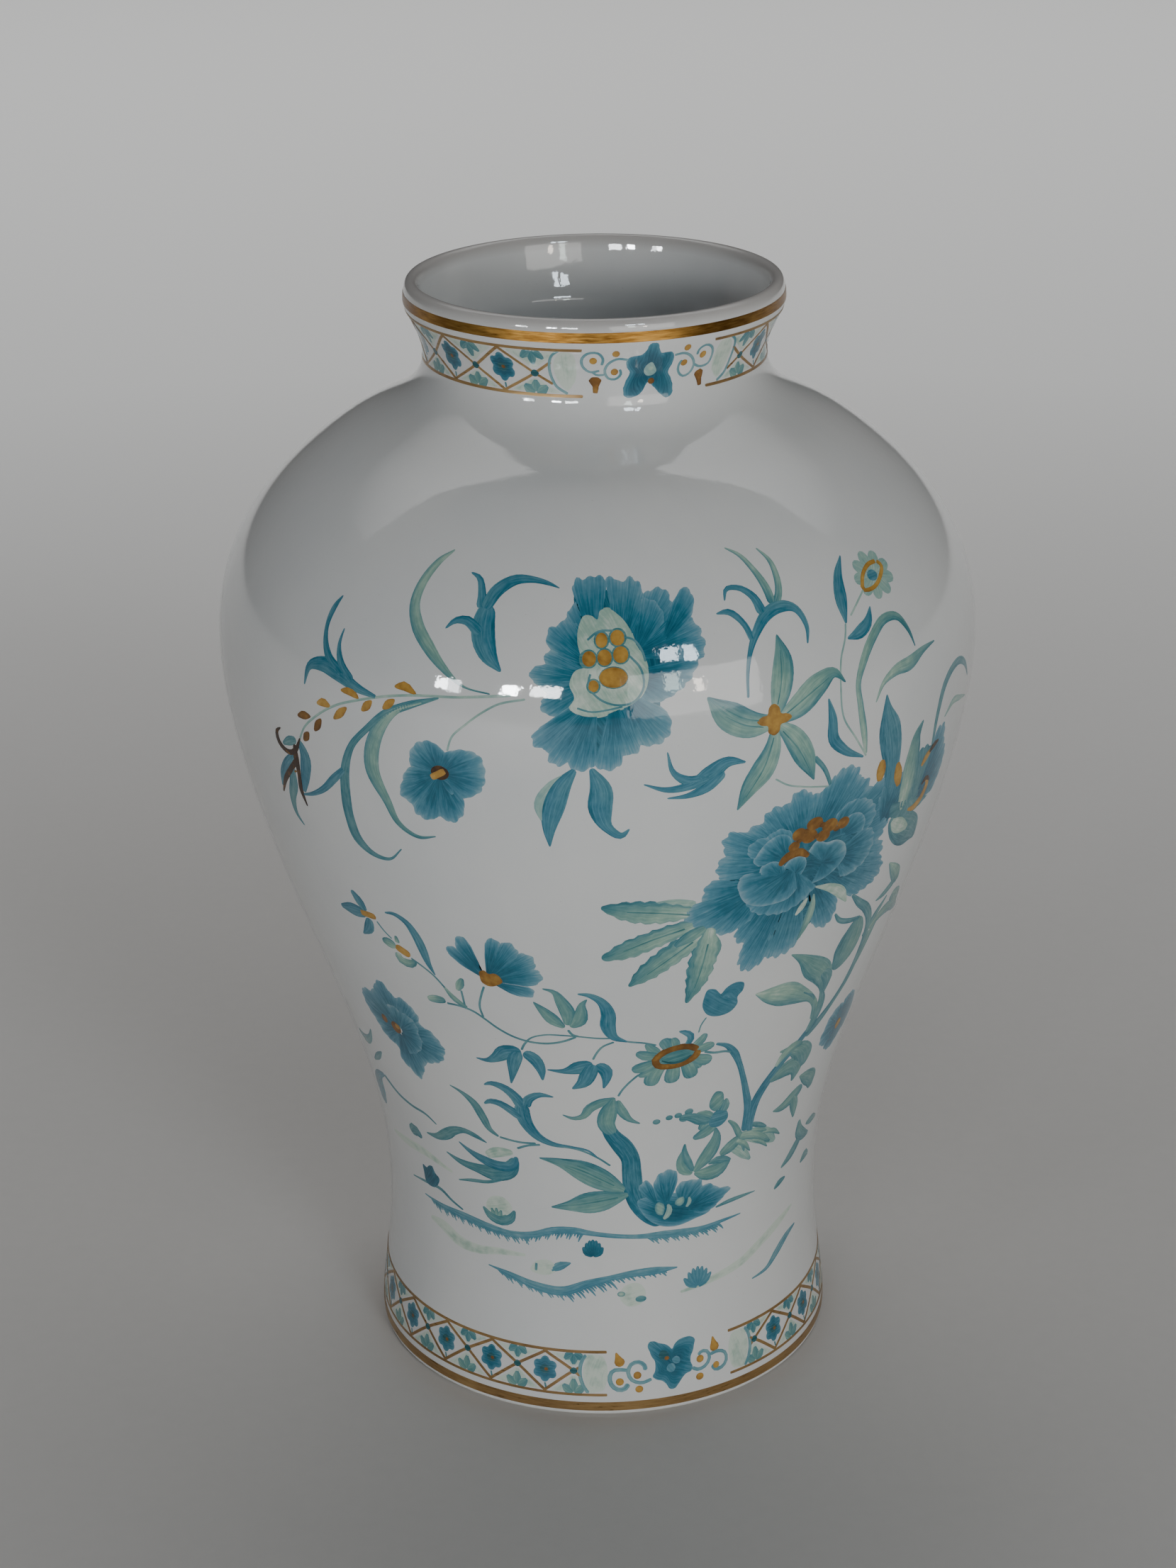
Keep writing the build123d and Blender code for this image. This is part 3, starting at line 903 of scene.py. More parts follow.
def upper_left():
    """The arching berry branch, its blue and green sickle leaves, and the flower that hangs under it."""
    on_both_sides("berry_branch", "green_enamel", [
        leaf([(-12, 192.4), (-20, 191), (-27, 190), (-31, 188.8), (-35, 187), (-40, 184), (-44, 180),
              (-46.5, 176.5), (-47.7, 173.5)], 0.6, "pale"),
        leaf([(-21.2, 179.3), (-20.5, 182.5), (-18.5, 185.5), (-16.5, 188), (-14, 190.3), (-10, 191.8)],
             0.5, "pale"),
        leaf([(-24.8, 217.3), (-27, 215), (-28.5, 211.5), (-28.8, 207.5), (-27.5, 203.8), (-25, 200),
              (-22.5, 196.7), (-19, 193.3), (-15, 192.3)], [0.3, 1.6, 2.2, 2.5, 3, 3, 2, 0.6, 0.4], "green"),
        leaf([(-25, 189), (-29.5, 186), (-32.5, 180), (-33.5, 172), (-31.5, 165), (-30, 160), (-27, 157.6),
              (-24, 158.5)], [0.6, 2, 3.6, 4, 2.4, 1.6, 1, 0.3], "green"),
    ])
    on_both_sides("branch_berries", "ochre_enamel", many(
        leaf, "ochre", 1,
        ([(-29.7, 191.2), (-28, 191.7), (-26, 190.4)], BERRY), ([(-31.4, 186), (-29.4, 188.6)], BERRY),
        ([(-35, 184.5), (-33.2, 187.3)], BERRY), ([(-39, 187.8), (-37, 188.1), (-35.5, 187)], BERRY),
        ([(-40.2, 181), (-37.6, 184.5)], BERRY), ([(-43.6, 183.3), (-42.2, 184), (-40.7, 183.5)], BERRY),
    ) + many(
        leaf, "russet", 1,
        ([(-44.2, 176.7), (-42.6, 180.2)], BERRY), ([(-47.9, 178.8), (-46.4, 179.5), (-44.8, 179.8)], BERRY),
        ([(-46.8, 173.4), (-45.4, 176)], BERRY),
    ))
    on_both_sides("forked_leaf", "blue_enamel", many(
        leaf, "blue", 1,
        ([(-32.5, 188.2), (-36, 189.2), (-40, 191.2), (-43, 192), (-45.5, 190.8), (-46.3, 186.3)],
         [0.8, 2.2, 3.6, 3.4, 2, 0.3]),
        ([(-39, 191), (-42, 194), (-43.5, 199), (-43, 204), (-42.2, 206)], [3, 2.2, 1.2, 1.3, 0.3]),
        ([(-37, 190), (-39.5, 193.5), (-40.3, 197), (-40, 200.3)], [2.5, 2, 1, 0.3]),
    ))
    on_both_sides("sickle_leaves", "blue_enamel", [
        leaf([(-22.5, 190.4), (-27, 188), (-31, 185), (-34, 181), (-37, 176), (-38.6, 170), (-39.2, 164),
              (-39.3, 158), (-38.5, 153), (-36.5, 150.5), (-33, 150), (-30.3, 153.5)],
             [0.4, 1.8, 2, 1.6, 1.8, 2.6, 3, 3, 3, 1.8, 0.8, 0.3], "teal"),
        leaf([(-38.8, 170), (-41, 167), (-44, 163), (-47, 160.5), (-50, 159)], [1.5, 2, 1.6, 1, 0.4],
             "blue", 1),
    ])
    on_both_sides("hanging_bud", "blue_enamel", [
        leaf([(-48, 173), (-47, 169.6), (-47.7, 165), (-48.9, 160)], [1.5, 3.6, 3.4, 1], "blue"),
        leaf([(-48.6, 172.8), (-50.4, 171.8), (-52.4, 170.2)], [1.6, 2.4, 0.6], "teal"),
        leaf([(-49.8, 168.6), (-52.2, 165.2), (-54, 161.4), (-55, 158.5)], [2, 3, 2.8, 0.6], "blue", 1),
        leaf([(-50.6, 165.5), (-51.4, 161), (-52.8, 156.5), (-52.8, 153), (-51.3, 150.4)],
             [1.4, 3.2, 2.4, 1.4, 0.3], "teal", 1),
    ])
    on_both_sides("hanging_bud_streaks", "ochre_enamel", many(
        leaf, "black", 3,
        ([(-52.4, 174), (-53.6, 172.6), (-53.5, 170.6), (-52.2, 169.1), (-50.4, 169), (-49, 170.4),
          (-47.6, 173.7)],
         [0.3, 1.1, 1.4, 1.3, 1.4, 1.3, 0.4]),
        ([(-49.2, 171.6), (-49.3, 168.6), (-49.3, 164), (-49.6, 160.5), (-48.9, 156.4)],
         [1, 2, 1.3, 1.5, 0.3]),
        ([(-49.4, 167.6), (-51.4, 164.4), (-53.5, 161.2), (-55.3, 157)], [1.4, 1.6, 1.4, 0.4]),
    ) + [leaf([(-51.8, 169), (-50.6, 168.5)], 0.6, "russet", 4),
         leaf([(-50.4, 164.4), (-49.8, 164.8)], 0.6, "russet", 4)])


def poppy():
    """The blue flower at the upper left, with a dark eye."""
    centre = (-22.4, 174)
    on_both_sides("poppy_petals", "blue_enamel", many(
        petal, "petal", 0,
        (centre, [(-26.9, 174.3), (-27, 177.3), (-25.7, 180.2), (-23.7, 180.9), (-21.4, 179)]),
        (centre, [(-19, 168.8), (-19.4, 165), (-21.3, 162.7), (-23, 163.7), (-24.7, 162.5), (-26.6, 163.3),
                  (-27.4, 166.5)]),
    ) + many(
        petal, "petal", 1,
        (centre, [(-21.8, 178.8), (-19, 180), (-16.5, 179), (-15.8, 175.5), (-16.4, 171.3), (-19.2, 168.6)]),
        (centre, [(-26.6, 165.3), (-29, 167.7), (-28.5, 170.6), (-27.6, 173.6), (-26.3, 175)]),
    ) + [leaf([(-22, 172.6), (-21.2, 171), (-20.6, 169.4)], [0.8, 1.8, 0.5], "soft", 2)])
    on_both_sides("poppy_heart", "ochre_enamel", [
        dot((-22.4, 174.2), 4.4, 3.4, "black", 2),
        leaf([(-23.9, 172.7), (-21.5, 174.9)], 1.7, "ochre", 4),
    ])


def tulip():
    """The blue bell left of the top flower, with three curled tips."""
    on_both_sides("curled_tulip", "blue_enamel", many(
        leaf, "blue", 0,
        ([(-13.7, 196.8), (-15.8, 200), (-17, 204.5), (-16.8, 209)], [0.5, 4.2, 5.4, 3.6]),
        ([(-17.8, 208), (-18.2, 211), (-19.2, 213.3), (-20.8, 214)], [2.5, 1.8, 1.2, 0.3]),
    ) + many(
        leaf, "blue", 1,
        ([(-17.3, 208), (-15.5, 211.7), (-13, 213.4), (-10.5, 213.6), (-7.5, 213), (-5.8, 212.3)],
         [2.6, 3, 2.4, 1.6, 0.9, 0.2]),
        ([(-17.2, 203.6), (-20, 205.8), (-21.5, 205.5), (-22.9, 203.8)], [2.8, 2, 1.4, 0.3]),
    ))


def top_peony():
    """The large flower at the top: ragged blue petals round a pale green cup with ochre stamens."""
    backing = [(-3.6, 212.4), (0.5, 212.8), (5, 212), (9, 210), (13, 208), (14.4, 204), (14, 199.5),
               (12.4, 195.5), (9, 191.6), (8.6, 187), (5, 182), (0.5, 179.6), (-3.6, 179.6), (-7, 183),
               (-5.2, 188), (-6.6, 191.4), (-7.8, 195.6), (-6, 200.6), (-5.8, 204), (-3.8, 207.6)]
    on_both_sides("top_peony_outer_petals", "blue_enamel", [blob(backing, "deep", -2, (2, 196))] + many(
        petal, "petal", 0,
        ((0, 200), [(-4.4, 206.4), (-4.4, 208.3), (-3.2, 210.2), (-3.9, 212.2), (-3.6, 213.5),
                    (-1.8, 213.9), (0, 214.3), (1.8, 213.8)]),
        ((4, 200), [(6.8, 211), (8.3, 211.6), (10, 212), (11.2, 210.8), (11.5, 208.6), (11.9, 206)]),
        ((0, 198), [(-5.4, 200.2), (-6.8, 201.6), (-7.4, 203.6), (-6.9, 205.4), (-5.5, 206.1), (-4.4, 207.6),
                    (-3, 208.2)]),
        ((1, 196), [(-7.6, 194.2), (-9.4, 196.3), (-9.1, 198), (-7.6, 198.8), (-7.4, 200.5), (-6.4, 201.8)]),
        ((0, 196), [(-3.6, 188.6), (-5.5, 188.6), (-7.6, 189.6), (-7.9, 191.2), (-7, 193), (-8.2, 194.6),
                    (-8.9, 195.8)]),
        ((4, 197), [(15.1, 201), (14, 197.5), (12.8, 195), (10.4, 192.4), (7.4, 190.8), (5, 190.6)]),
    ) + many(
        petal, "petal", 1,
        ((3, 200), [(1.2, 213.9), (3, 213.8), (3.8, 213.1), (5, 213.9), (6.6, 213.1), (7.2, 211.2),
                    (7.6, 209)]),
        ((4, 200), [(11.4, 207.6), (13.7, 206.7), (15.1, 204.3), (15.5, 201.4), (14.8, 198.6)]),
    ) + many(
        petal, "petal", 2,
        ((9, 202), [(10.8, 207.6), (11.6, 209.5), (12.4, 210.4), (13.2, 211.6), (14.7, 211), (14.9, 209.4),
                    (14.4, 207.4), (13, 205)]),
        ((5, 200), [(6.4, 210.4), (8.2, 210.4), (9.8, 208.6), (10.2, 206)]),
    ))
    on_both_sides("top_peony_skirt", "blue_enamel", many(
        petal, "petal", 2,
        ((0, 193), [(-4.2, 190.4), (-5.2, 189.3), (-6.6, 187.7), (-8, 186.1), (-9, 184), (-8.6, 182.3),
                    (-6.9, 181.6)]),
        ((3, 194), [(4.6, 180.6), (5.6, 182.3), (7.2, 182.3), (8.9, 183.1), (9.8, 185), (9.8, 188),
                    (8.6, 190.4)]),
    ) + many(
        petal, "petal", 3,
        ((0, 193), [(-7.6, 182.6), (-6.8, 181.2), (-6.7, 179.4), (-5.4, 178.2), (-4.2, 178.7), (-3.3, 177.3),
                    (-1.8, 177.3), (-0.2, 178.8)]),
        ((2, 193), [(-0.7, 178.7), (0.6, 177.4), (2.1, 177.5), (3.1, 178.7), (3.5, 180.5), (5.1, 180.7),
                    (5.8, 182.6)]),
    ))
    cup = [(-2.8, 206.3), (-2.2, 207.8), (-0.9, 207.9), (0, 207.2), (0.4, 208.8), (1.6, 209.3), (3.2, 208.1),
           (4.8, 205.8), (5.8, 202.5), (7, 199.5), (7.3, 196), (6.6, 193), (5, 190.8), (3, 189.6), (0, 188.2),
           (-2.6, 188.5), (-4.2, 190), (-3.4, 192), (-4.1, 195), (-3.3, 197.6), (-1.6, 198.6), (-2.6, 201)]
    on_both_sides("top_peony_cup", "green_enamel", [blob(cup, "mint", 6, (1.4, 198))] + many(
        leaf, "line", 8,
        ([(3.2, 203.9), (5.2, 203.3), (6.3, 201.4), (6.8, 199)], 0.55),
        ([(-1, 197.2), (-1.3, 195), (0.1, 192.3), (2.5, 190.9), (5, 191.5), (6.3, 194), (6, 198),
          (4.5, 200.4)], 0.6),
        ([(-3, 190.4), (-1, 189.6), (1.5, 190), (3.5, 190.6)], 0.5),
        ([(-1.6, 203.2), (0.2, 204.9), (2.4, 205)], 0.6),
    ))
    stamens = [((0.6, 203.3), 2.7, 3.0), ((2.9, 203.7), 3.2, 3.1), ((-1.2, 199.9), 3.1, 3.2),
               ((1.0, 200.1), 3.2, 3.3), ((3.3, 200.6), 3.4, 3.4), ((-0.6, 194.7), 2.4, 2.6),
               ((2.2, 196.3), 6.2, 4.2)]
    shadows = [dot(centre, width + 1.1, tall + 1.0, "vein", 7) for centre, width, tall in stamens]
    on_both_sides("top_peony_stamen_shadows", "green_enamel", shadows)
    on_both_sides("top_peony_stamens", "ochre_enamel", many(dot, "ochre", 9, *stamens))
    on_both_sides("top_peony_leaves", "blue_enamel", [
        leaf([(-3.6, 176.6), (-6.4, 173), (-8.2, 168.5), (-8, 165)], [0.8, 3, 2.6, 0.3], "pale"),
        leaf([(-3.2, 177.3), (-5, 173.5), (-6.3, 168.5), (-7, 163), (-7, 158.8)], [1.2, 4, 5, 2.8, 0.3],
             "blue", 1),
        leaf([(-1, 177.6), (0.3, 172.5), (0.2, 168), (1.3, 163.5), (3.2, 161.7), (4.3, 163.3)],
             [1, 5, 5.2, 2.4, 1.6, 0.3], "blue", 1),
    ])


def bird_leaf():
    """The three-tailed blue leaf in the middle."""
    on_both_sides("swallow_leaf", "blue_enamel", many(
        leaf, "blue", 1,
        ([(20.7, 176.4), (18, 177), (15.5, 174.8), (13, 172.8), (9.5, 172), (6.1, 173.6)],
         [0.4, 2.6, 4, 2.4, 1.4, 0.3]),
        ([(17.5, 175), (15, 171.8), (12.5, 170.3), (9.4, 170)], [2.4, 2.6, 1.4, 0.3]),
        ([(15.5, 174), (12.3, 173.7), (10.4, 175.6), (9.4, 180.6)], [2.4, 2.4, 1.4, 0.3]),
    ))


def starflower():
    """The green flower with five long petals and an ochre heart."""
    on_both_sides("starflower_petals", "green_enamel", many(
        leaf, "green", 1,
        ([(25.2, 184.2), (21, 184.6), (18, 187.2), (15.2, 191.3)], [2.5, 6.4, 6.4, 0.4]),
        ([(25.3, 185.5), (26.4, 191), (27.2, 196.5), (26.9, 201.5)], [2.2, 5.2, 4.6, 0.3]),
        ([(25.4, 184.2), (29, 186.6), (32.5, 190.1), (35.5, 191.6), (37.3, 189)], [2, 5.4, 5.2, 2.2, 0.3]),
        ([(25.3, 184), (28, 180), (30, 175), (31.8, 169)], [1.4, 5, 5.2, 0.3]),
        ([(25.2, 184), (24.6, 178), (23.3, 174), (21.5, 170.5), (19.7, 165.3)], [1.4, 4.4, 5.8, 4.4, 0.3]),
    ) + many(
        leaf, "vein", 3,
        ([(23.6, 184.6), (20.4, 186), (16.8, 189.4)], [0.3, 0.4, 0.2]),
        ([(23.4, 183.4), (20.4, 184.6), (17.6, 187)], [0.2, 0.3, 0.1]),
        ([(25.6, 187.6), (26.5, 192.5), (27, 198.6)], [0.3, 0.4, 0.2]),
        ([(26.8, 185.4), (30.4, 188.2), (34.4, 191)], [0.3, 0.4, 0.2]),
        ([(26.2, 182), (28.6, 177.6), (31, 171.4)], [0.3, 0.4, 0.2]),
        ([(24.9, 181), (23.6, 175), (20.8, 168)], [0.3, 0.4, 0.2]),
    ) + [
        leaf([(31.5, 174.5), (33.5, 171), (35, 166.5)], [1.4, 1.2, 1], "teal"),
        leaf([(25.3, 171.3), (27.5, 169.2), (30, 168), (34.5, 166.5)], 0.45, "pale"),
    ])
    on_both_sides("starflower_heart", "ochre_enamel", [
        blob([(25, 188.2), (25.9, 187.2), (26.1, 185.9), (27.2, 185.6), (27.9, 184.7), (27.1, 183.7),
              (26, 183.3), (25.8, 182), (24.9, 181.1), (24, 182.1), (23.9, 183.4), (22.9, 183.8),
              (22.2, 184.7), (23, 185.7), (24, 186), (24.2, 187.2)], "ochre", 4),
    ])


def antler_plant():
    """The forked blue plant with two green blades, right of the top flower."""
    on_both_sides("antler_plant", "blue_enamel", many(
        leaf, "blue", 1,
        ([(21.2, 190), (21.5, 195), (22.3, 199), (23.8, 202.5), (26, 205.3), (28.5, 206.3), (31, 205.5),
          (32.2, 202), (31.7, 198.5)], [0.6, 0.8, 1.2, 2, 2.6, 2.6, 1.8, 1.2, 0.4]),
        ([(23, 201), (22, 204.5), (20, 206.8), (18, 206.7)], [1.5, 1.4, 1.4, 0.3]),
        ([(25.5, 205.5), (24.5, 209), (22.5, 210.7), (20.5, 210.7), (19.8, 208.7)], [2.6, 1.8, 1.3, 1, 0.3]),
    ) + many(
        leaf, "green", 0,
        ([(22.3, 217.5), (24.5, 216), (26, 213.5), (27.2, 210), (27.5, 207)], [0.3, 1, 1.4, 2, 2]),
        ([(28, 216.7), (29.5, 214.5), (29.7, 211.5), (29, 208.5), (28, 206.8)], [0.3, 1.1, 1.6, 1.8, 2]),
    ))


def small_daisy():
    """The little ochre daisy at the upper right, on its stem with a pair of blue leaves."""
    angle, height = 48.4, 207.2
    count = 9
    petals = []
    for index in range(count):
        turn = 2 * math.pi * index / count + 0.3
        tip = (angle + 4.6 * math.cos(turn), height + 4.7 * math.sin(turn))
        middle = (angle + 3 * math.cos(turn), height + 3 * math.sin(turn))
        petals.append(leaf([(angle, height), middle, tip], [1.6, 3.2, 2.2], "pale", index % 2))
    on_both_sides("small_daisy_petals", "green_enamel", petals + many(
        leaf, "pale", 0,
        ([(45, 205.5), (43, 203.8), (40.5, 201.5)], 0.5),
        ([(41.3, 171), (39, 176), (36.5, 182), (36.3, 188), (37, 194), (38.6, 198.2), (39.2, 200.5)], 0.5),
    ))
    on_both_sides("small_daisy_heart", "ochre_enamel", [
        leaf([(50.3, 209.3), (48.2, 209.2), (45.6, 207.3), (44.9, 205.3), (46.6, 205), (49.4, 206.3),
              (51, 208.4), (50.3, 209.3)], 1.1, "ochre", 3),
    ])
    on_both_sides("small_daisy_eye", "blue_enamel", [dot((48, 207.2), 3.4, 2.2, "blue", 2)] + many(
        leaf, "blue", 0,
        ([(39.3, 200.3), (39.8, 205), (41, 209), (43.5, 212.3)], [0.5, 3.4, 2.4, 0.2]),
        ([(38.8, 197.5), (41.5, 198), (43.5, 199.3), (45, 202.2)], [0.4, 3, 2.6, 0.2]),
    ))


def arch_stem():
    """The green stem that arches over at the right, with its leaf and a blue leaf at its foot."""
    on_both_sides("arched_stem", "green_enamel", many(
        leaf, "green", 0,
        ([(41.2, 171.5), (40.5, 177), (39.8, 183), (39.6, 188), (41, 192), (44, 196.5), (47, 198.8),
          (50, 198.3), (51.8, 195), (52.8, 190.8)], [0.8, 2, 1.8, 1.6, 2.2, 2.4, 2.2, 1.8, 1.2, 0.3]),
        ([(42.8, 182.5), (44.5, 186), (47.5, 187.8), (51, 188), (54.5, 189.3), (58.3, 189.8)],
         [0.3, 1.2, 2.6, 3.4, 1.8, 0.3]),
    ) + [leaf([(34, 186.7), (34.6, 182), (34.8, 177.5), (37, 174), (40.8, 171)], [0.4, 2.4, 3, 2.2, 0.5],
              "blue", 1)])


def right_tulip():
    """The tall blue bud with ochre stripes, and the flower and stems round the side."""
    on_both_sides("striped_tulip", "blue_enamel", [
        leaf([(45.2, 183.5), (45.3, 180.5), (45.9, 176), (46.8, 171), (47.5, 166.5), (47.8, 160)],
             [0.3, 2.8, 7.2, 7.4, 5.8, 4], "blue"),
        leaf([(58.8, 164), (59.3, 173), (61, 178.3), (64, 180.8), (67, 181), (70, 179), (72.8, 174.5)],
             [0.8, 1.9, 2.3, 2.2, 2, 1.7, 0.4], "teal"),
        leaf([(62, 170.2), (65, 172.3), (69, 171.2), (73, 169.6)], [0.4, 1.8, 1.4, 0.3], "pale"),
    ])
    on_both_sides("tulip_stripes", "ochre_enamel", [
        leaf([(45, 168.6), (45.1, 166), (45.1, 163)], [1.4, 3.2, 1.6], "ochre", 3),
        leaf([(48.9, 166.2), (49.5, 163), (50.3, 159.4)], [1, 3.2, 1.2], "ochre", 4),
        leaf([(56.2, 161.2), (57.4, 163), (59, 164.4)], [0.8, 2.2, 0.8], "ochre", 5),
        leaf([(58, 163.6), (59.6, 164.9), (61.2, 165.4)], [0.6, 1.8, 0.4], "black", 6),
        leaf([(55, 151.2), (57.4, 150.8), (59.4, 152.4), (60.2, 155), (59, 157.2)], [0.6, 2.2, 2.4, 2, 0.6],
             "ochre", 6),
        leaf([(57.8, 155.8), (59.2, 156.9), (60.8, 155.6)], [0.4, 1.6, 0.4], "black", 7),
    ])
    centre = (56.5, 152)
    on_both_sides("side_flower_petals", "green_enamel", [
        blob([(52, 157), (54, 163), (58.4, 164), (61, 158), (57.4, 153), (53, 153)], "teal", 0, (56.4, 158)),
        leaf([(53, 152), (53, 160), (53, 166.4), (53.3, 170.4), (54.7, 173.4)], [4, 6.6, 5.4, 3.2, 0.3],
             "green", 2),
        petal((48, 150), [(45.6, 158), (46.6, 162), (48.6, 163.6), (51, 162.6), (53.6, 160), (54, 155)],
              "petal"),
        petal(centre, [(53, 160.6), (54.8, 165.6), (57, 166), (59, 164.4), (60.4, 161)], "teal", 1),
        petal(centre, [(58.4, 163), (60.2, 168.4), (62.6, 168.2), (63.4, 164.6), (65.4, 160), (65.4, 155.5),
                       (63.6, 151)],
              "petal", 3),
        petal((55, 154), [(49.6, 156), (49.4, 153), (51.6, 150.6), (55, 149.6), (59, 149.8), (62.4, 151)],
              "teal", 2),
        leaf([(50.4, 151.4), (53, 148.4), (56.5, 145.6), (60, 143), (61.6, 140.8)], [2.4, 7, 9, 6, 0.6],
             "teal", 1),
        leaf([(50.8, 150.6), (52.6, 148.8), (55, 147), (57, 145.8)], [1.2, 4.2, 3.6, 1], "mint", 4),
    ])


def big_peony():
    """The large blue flower: round outer petals, a ring of rimmed inner ones and ochre stamens."""
    heart = (32, 149)
    backing = [(20, 150), (20, 156), (25, 159), (29, 162), (34, 164), (39, 165), (43, 161), (47, 160),
               (48, 155), (47, 149), (49, 141), (46, 137), (40, 136), (37.6, 131), (33.4, 127), (27, 125),
               (25, 131), (18, 137), (16.4, 142)]
    on_both_sides("big_peony_outer_petals", "blue_enamel", [blob(backing, "deep", -2, (33, 147))] + many(
        petal, "petal", 0,
        (heart, [(18.9, 147.5), (17.6, 150), (17.5, 152), (18.5, 155), (18, 158), (19.3, 160.1),
                 (21.3, 159.5), (23, 160.9), (25, 160.4)]),
        (heart, [(24, 159), (24.4, 163.1), (26, 164.4), (28, 164.6), (28.7, 166.7), (30.4, 167),
                 (32, 165.4)]),
        (heart, [(31.4, 165), (34, 166), (35.8, 168.8), (38, 169.8), (40.2, 168.3), (40.7, 165.9),
                 (41.9, 163)]),
        (heart, [(40, 166), (42.4, 165), (43.4, 162.4), (45, 163.6), (48, 163.2), (50.3, 160.3),
                 (50.2, 156)]),
        (heart, [(50.4, 157), (50, 154), (49.4, 150), (48.2, 147), (46, 145)]),
        (heart, [(47, 148), (49.8, 145.6), (50.4, 142), (51.8, 139), (51.2, 136), (48.5, 134.4), (45, 134),
                 (42, 136.5)]),
        ((33, 146), [(34.6, 139), (35.8, 136), (36.5, 131.5), (38.5, 128.7), (40.8, 128.2), (41.9, 130.8),
                     (41.7, 134.5), (40, 138)]),
        ((30, 146), [(24.6, 138), (22.6, 135), (22, 132), (23, 130.2), (25, 130), (26.5, 131.5)]),
    ) + many(
        petal, "petal", 1,
        ((27, 146), [(20, 147.6), (16.9, 148.2), (15.8, 146), (15.7, 143.4), (14, 142.4), (13.1, 140),
                     (14.2, 137), (16.4, 135.2), (20, 133.4), (24.6, 135.8)]),
        ((31, 147), [(24.2, 131), (23.6, 127.5), (23.7, 124), (25.4, 121.8), (27.6, 122.7), (28.9, 124.9),
                     (29, 128)]),
        ((32, 147), [(27.4, 127), (28.9, 124.6), (31, 123.7), (33.6, 124.6), (35.2, 127.6), (35, 131),
                     (34.2, 135)]),
    ))
    on_both_sides("big_peony_middle_petals", "blue_enamel", many(
        petal, "petal", 3,
        ((30, 149), [(22.8, 152.4), (21.9, 154.8), (23, 157), (25, 157.6), (26.6, 158.8), (28.8, 157.6),
                     (29.6, 155.4)]),
        ((36, 153), [(36.8, 158.5), (39, 160.8), (42, 160.6), (44.8, 158), (45.8, 154.6), (44.5, 151.5)]),
        ((38, 148), [(43, 152.5), (46, 151), (47, 147.5), (46.4, 143.6), (43.6, 141), (40.6, 141)]),
        ((31, 147), [(22.6, 141.4), (24, 138.4), (27, 136.4), (30, 135.8), (33.4, 137.6), (36, 141.2)]),
    ) + many(
        petal, "soft", 5,
        ((29.2, 150), [(24.2, 150), (23, 151.6), (23.6, 154.2), (25, 156.6), (27, 157.7), (28.9, 156.4),
                       (29.4, 153.6)]),
        ((38.6, 152.5), [(37.8, 155), (40, 157.7), (42.2, 157.2), (43.7, 154.6), (43.6, 151.4)]),
    ) + many(
        petal, "soft", 6,
        ((30.5, 147.6), [(25, 148.2), (21.4, 148.3), (20.8, 146.3), (21.3, 143.8), (22.6, 140.8), (25, 139.1),
                         (28, 138.8), (30.6, 139.4), (32.2, 142)]),
        ((36, 147), [(32.6, 151), (34, 153.5), (36, 152.2), (38, 152), (40.2, 150), (40.9, 147),
                     (39.6, 144.3), (37, 142.3), (34.4, 141.8)]),
    ) + many(
        petal, "soft", 8,
        ((28.4, 146.4), [(24.4, 147.4), (24.6, 150), (26.2, 151), (28, 150), (29.2, 147.6)]),
        ((31, 146.2), [(28.4, 148.6), (30, 150.6), (32, 150.3), (32.8, 148), (32, 145)]),
    ))
    on_both_sides("big_peony_green_petals", "green_enamel", [
        leaf([(35.6, 140.8), (39.5, 138.8), (42, 136.5), (44.3, 132.8)], [0.4, 2.6, 3, 0.4], "mint", 3),
        leaf([(34.6, 138.4), (33.8, 136.2), (32.8, 134)], [0.4, 2, 0.4], "mint", 3),
        leaf([(35.7, 139), (36, 135), (35.5, 130), (34.6, 126.6)], [0.4, 2.2, 2, 0.4], "green", 3),
    ])
    on_both_sides("big_peony_stamens", "ochre_enamel", many(
        dot, "ring", 9,
        ((30.4, 156.2), 3.6, 3.2), ((33, 158), 4.4, 3.2), ((36, 156.4), 4.4, 3.4), ((38.6, 156), 3.6, 3),
        ((32.4, 155), 4.2, 3.4), ((35, 154.2), 3.8, 3), ((29.8, 153.4), 3, 2.6),
    ) + many(
        dot, "russet", 10,
        ((31.6, 156.6), 1.8, 1.3), ((34.4, 157.2), 1.8, 1.3), ((37.4, 155), 1.9, 1.3),
        ((30.6, 154.6), 1.6, 1.2), ((33.6, 154.6), 1.8, 1.2),
    ) + many(
        leaf, "ring", 9,
        ([(27.6, 149), (28.8, 151), (30.8, 151.6), (33, 149.8)], [1.2, 2.6, 2.4, 1]),
    ))


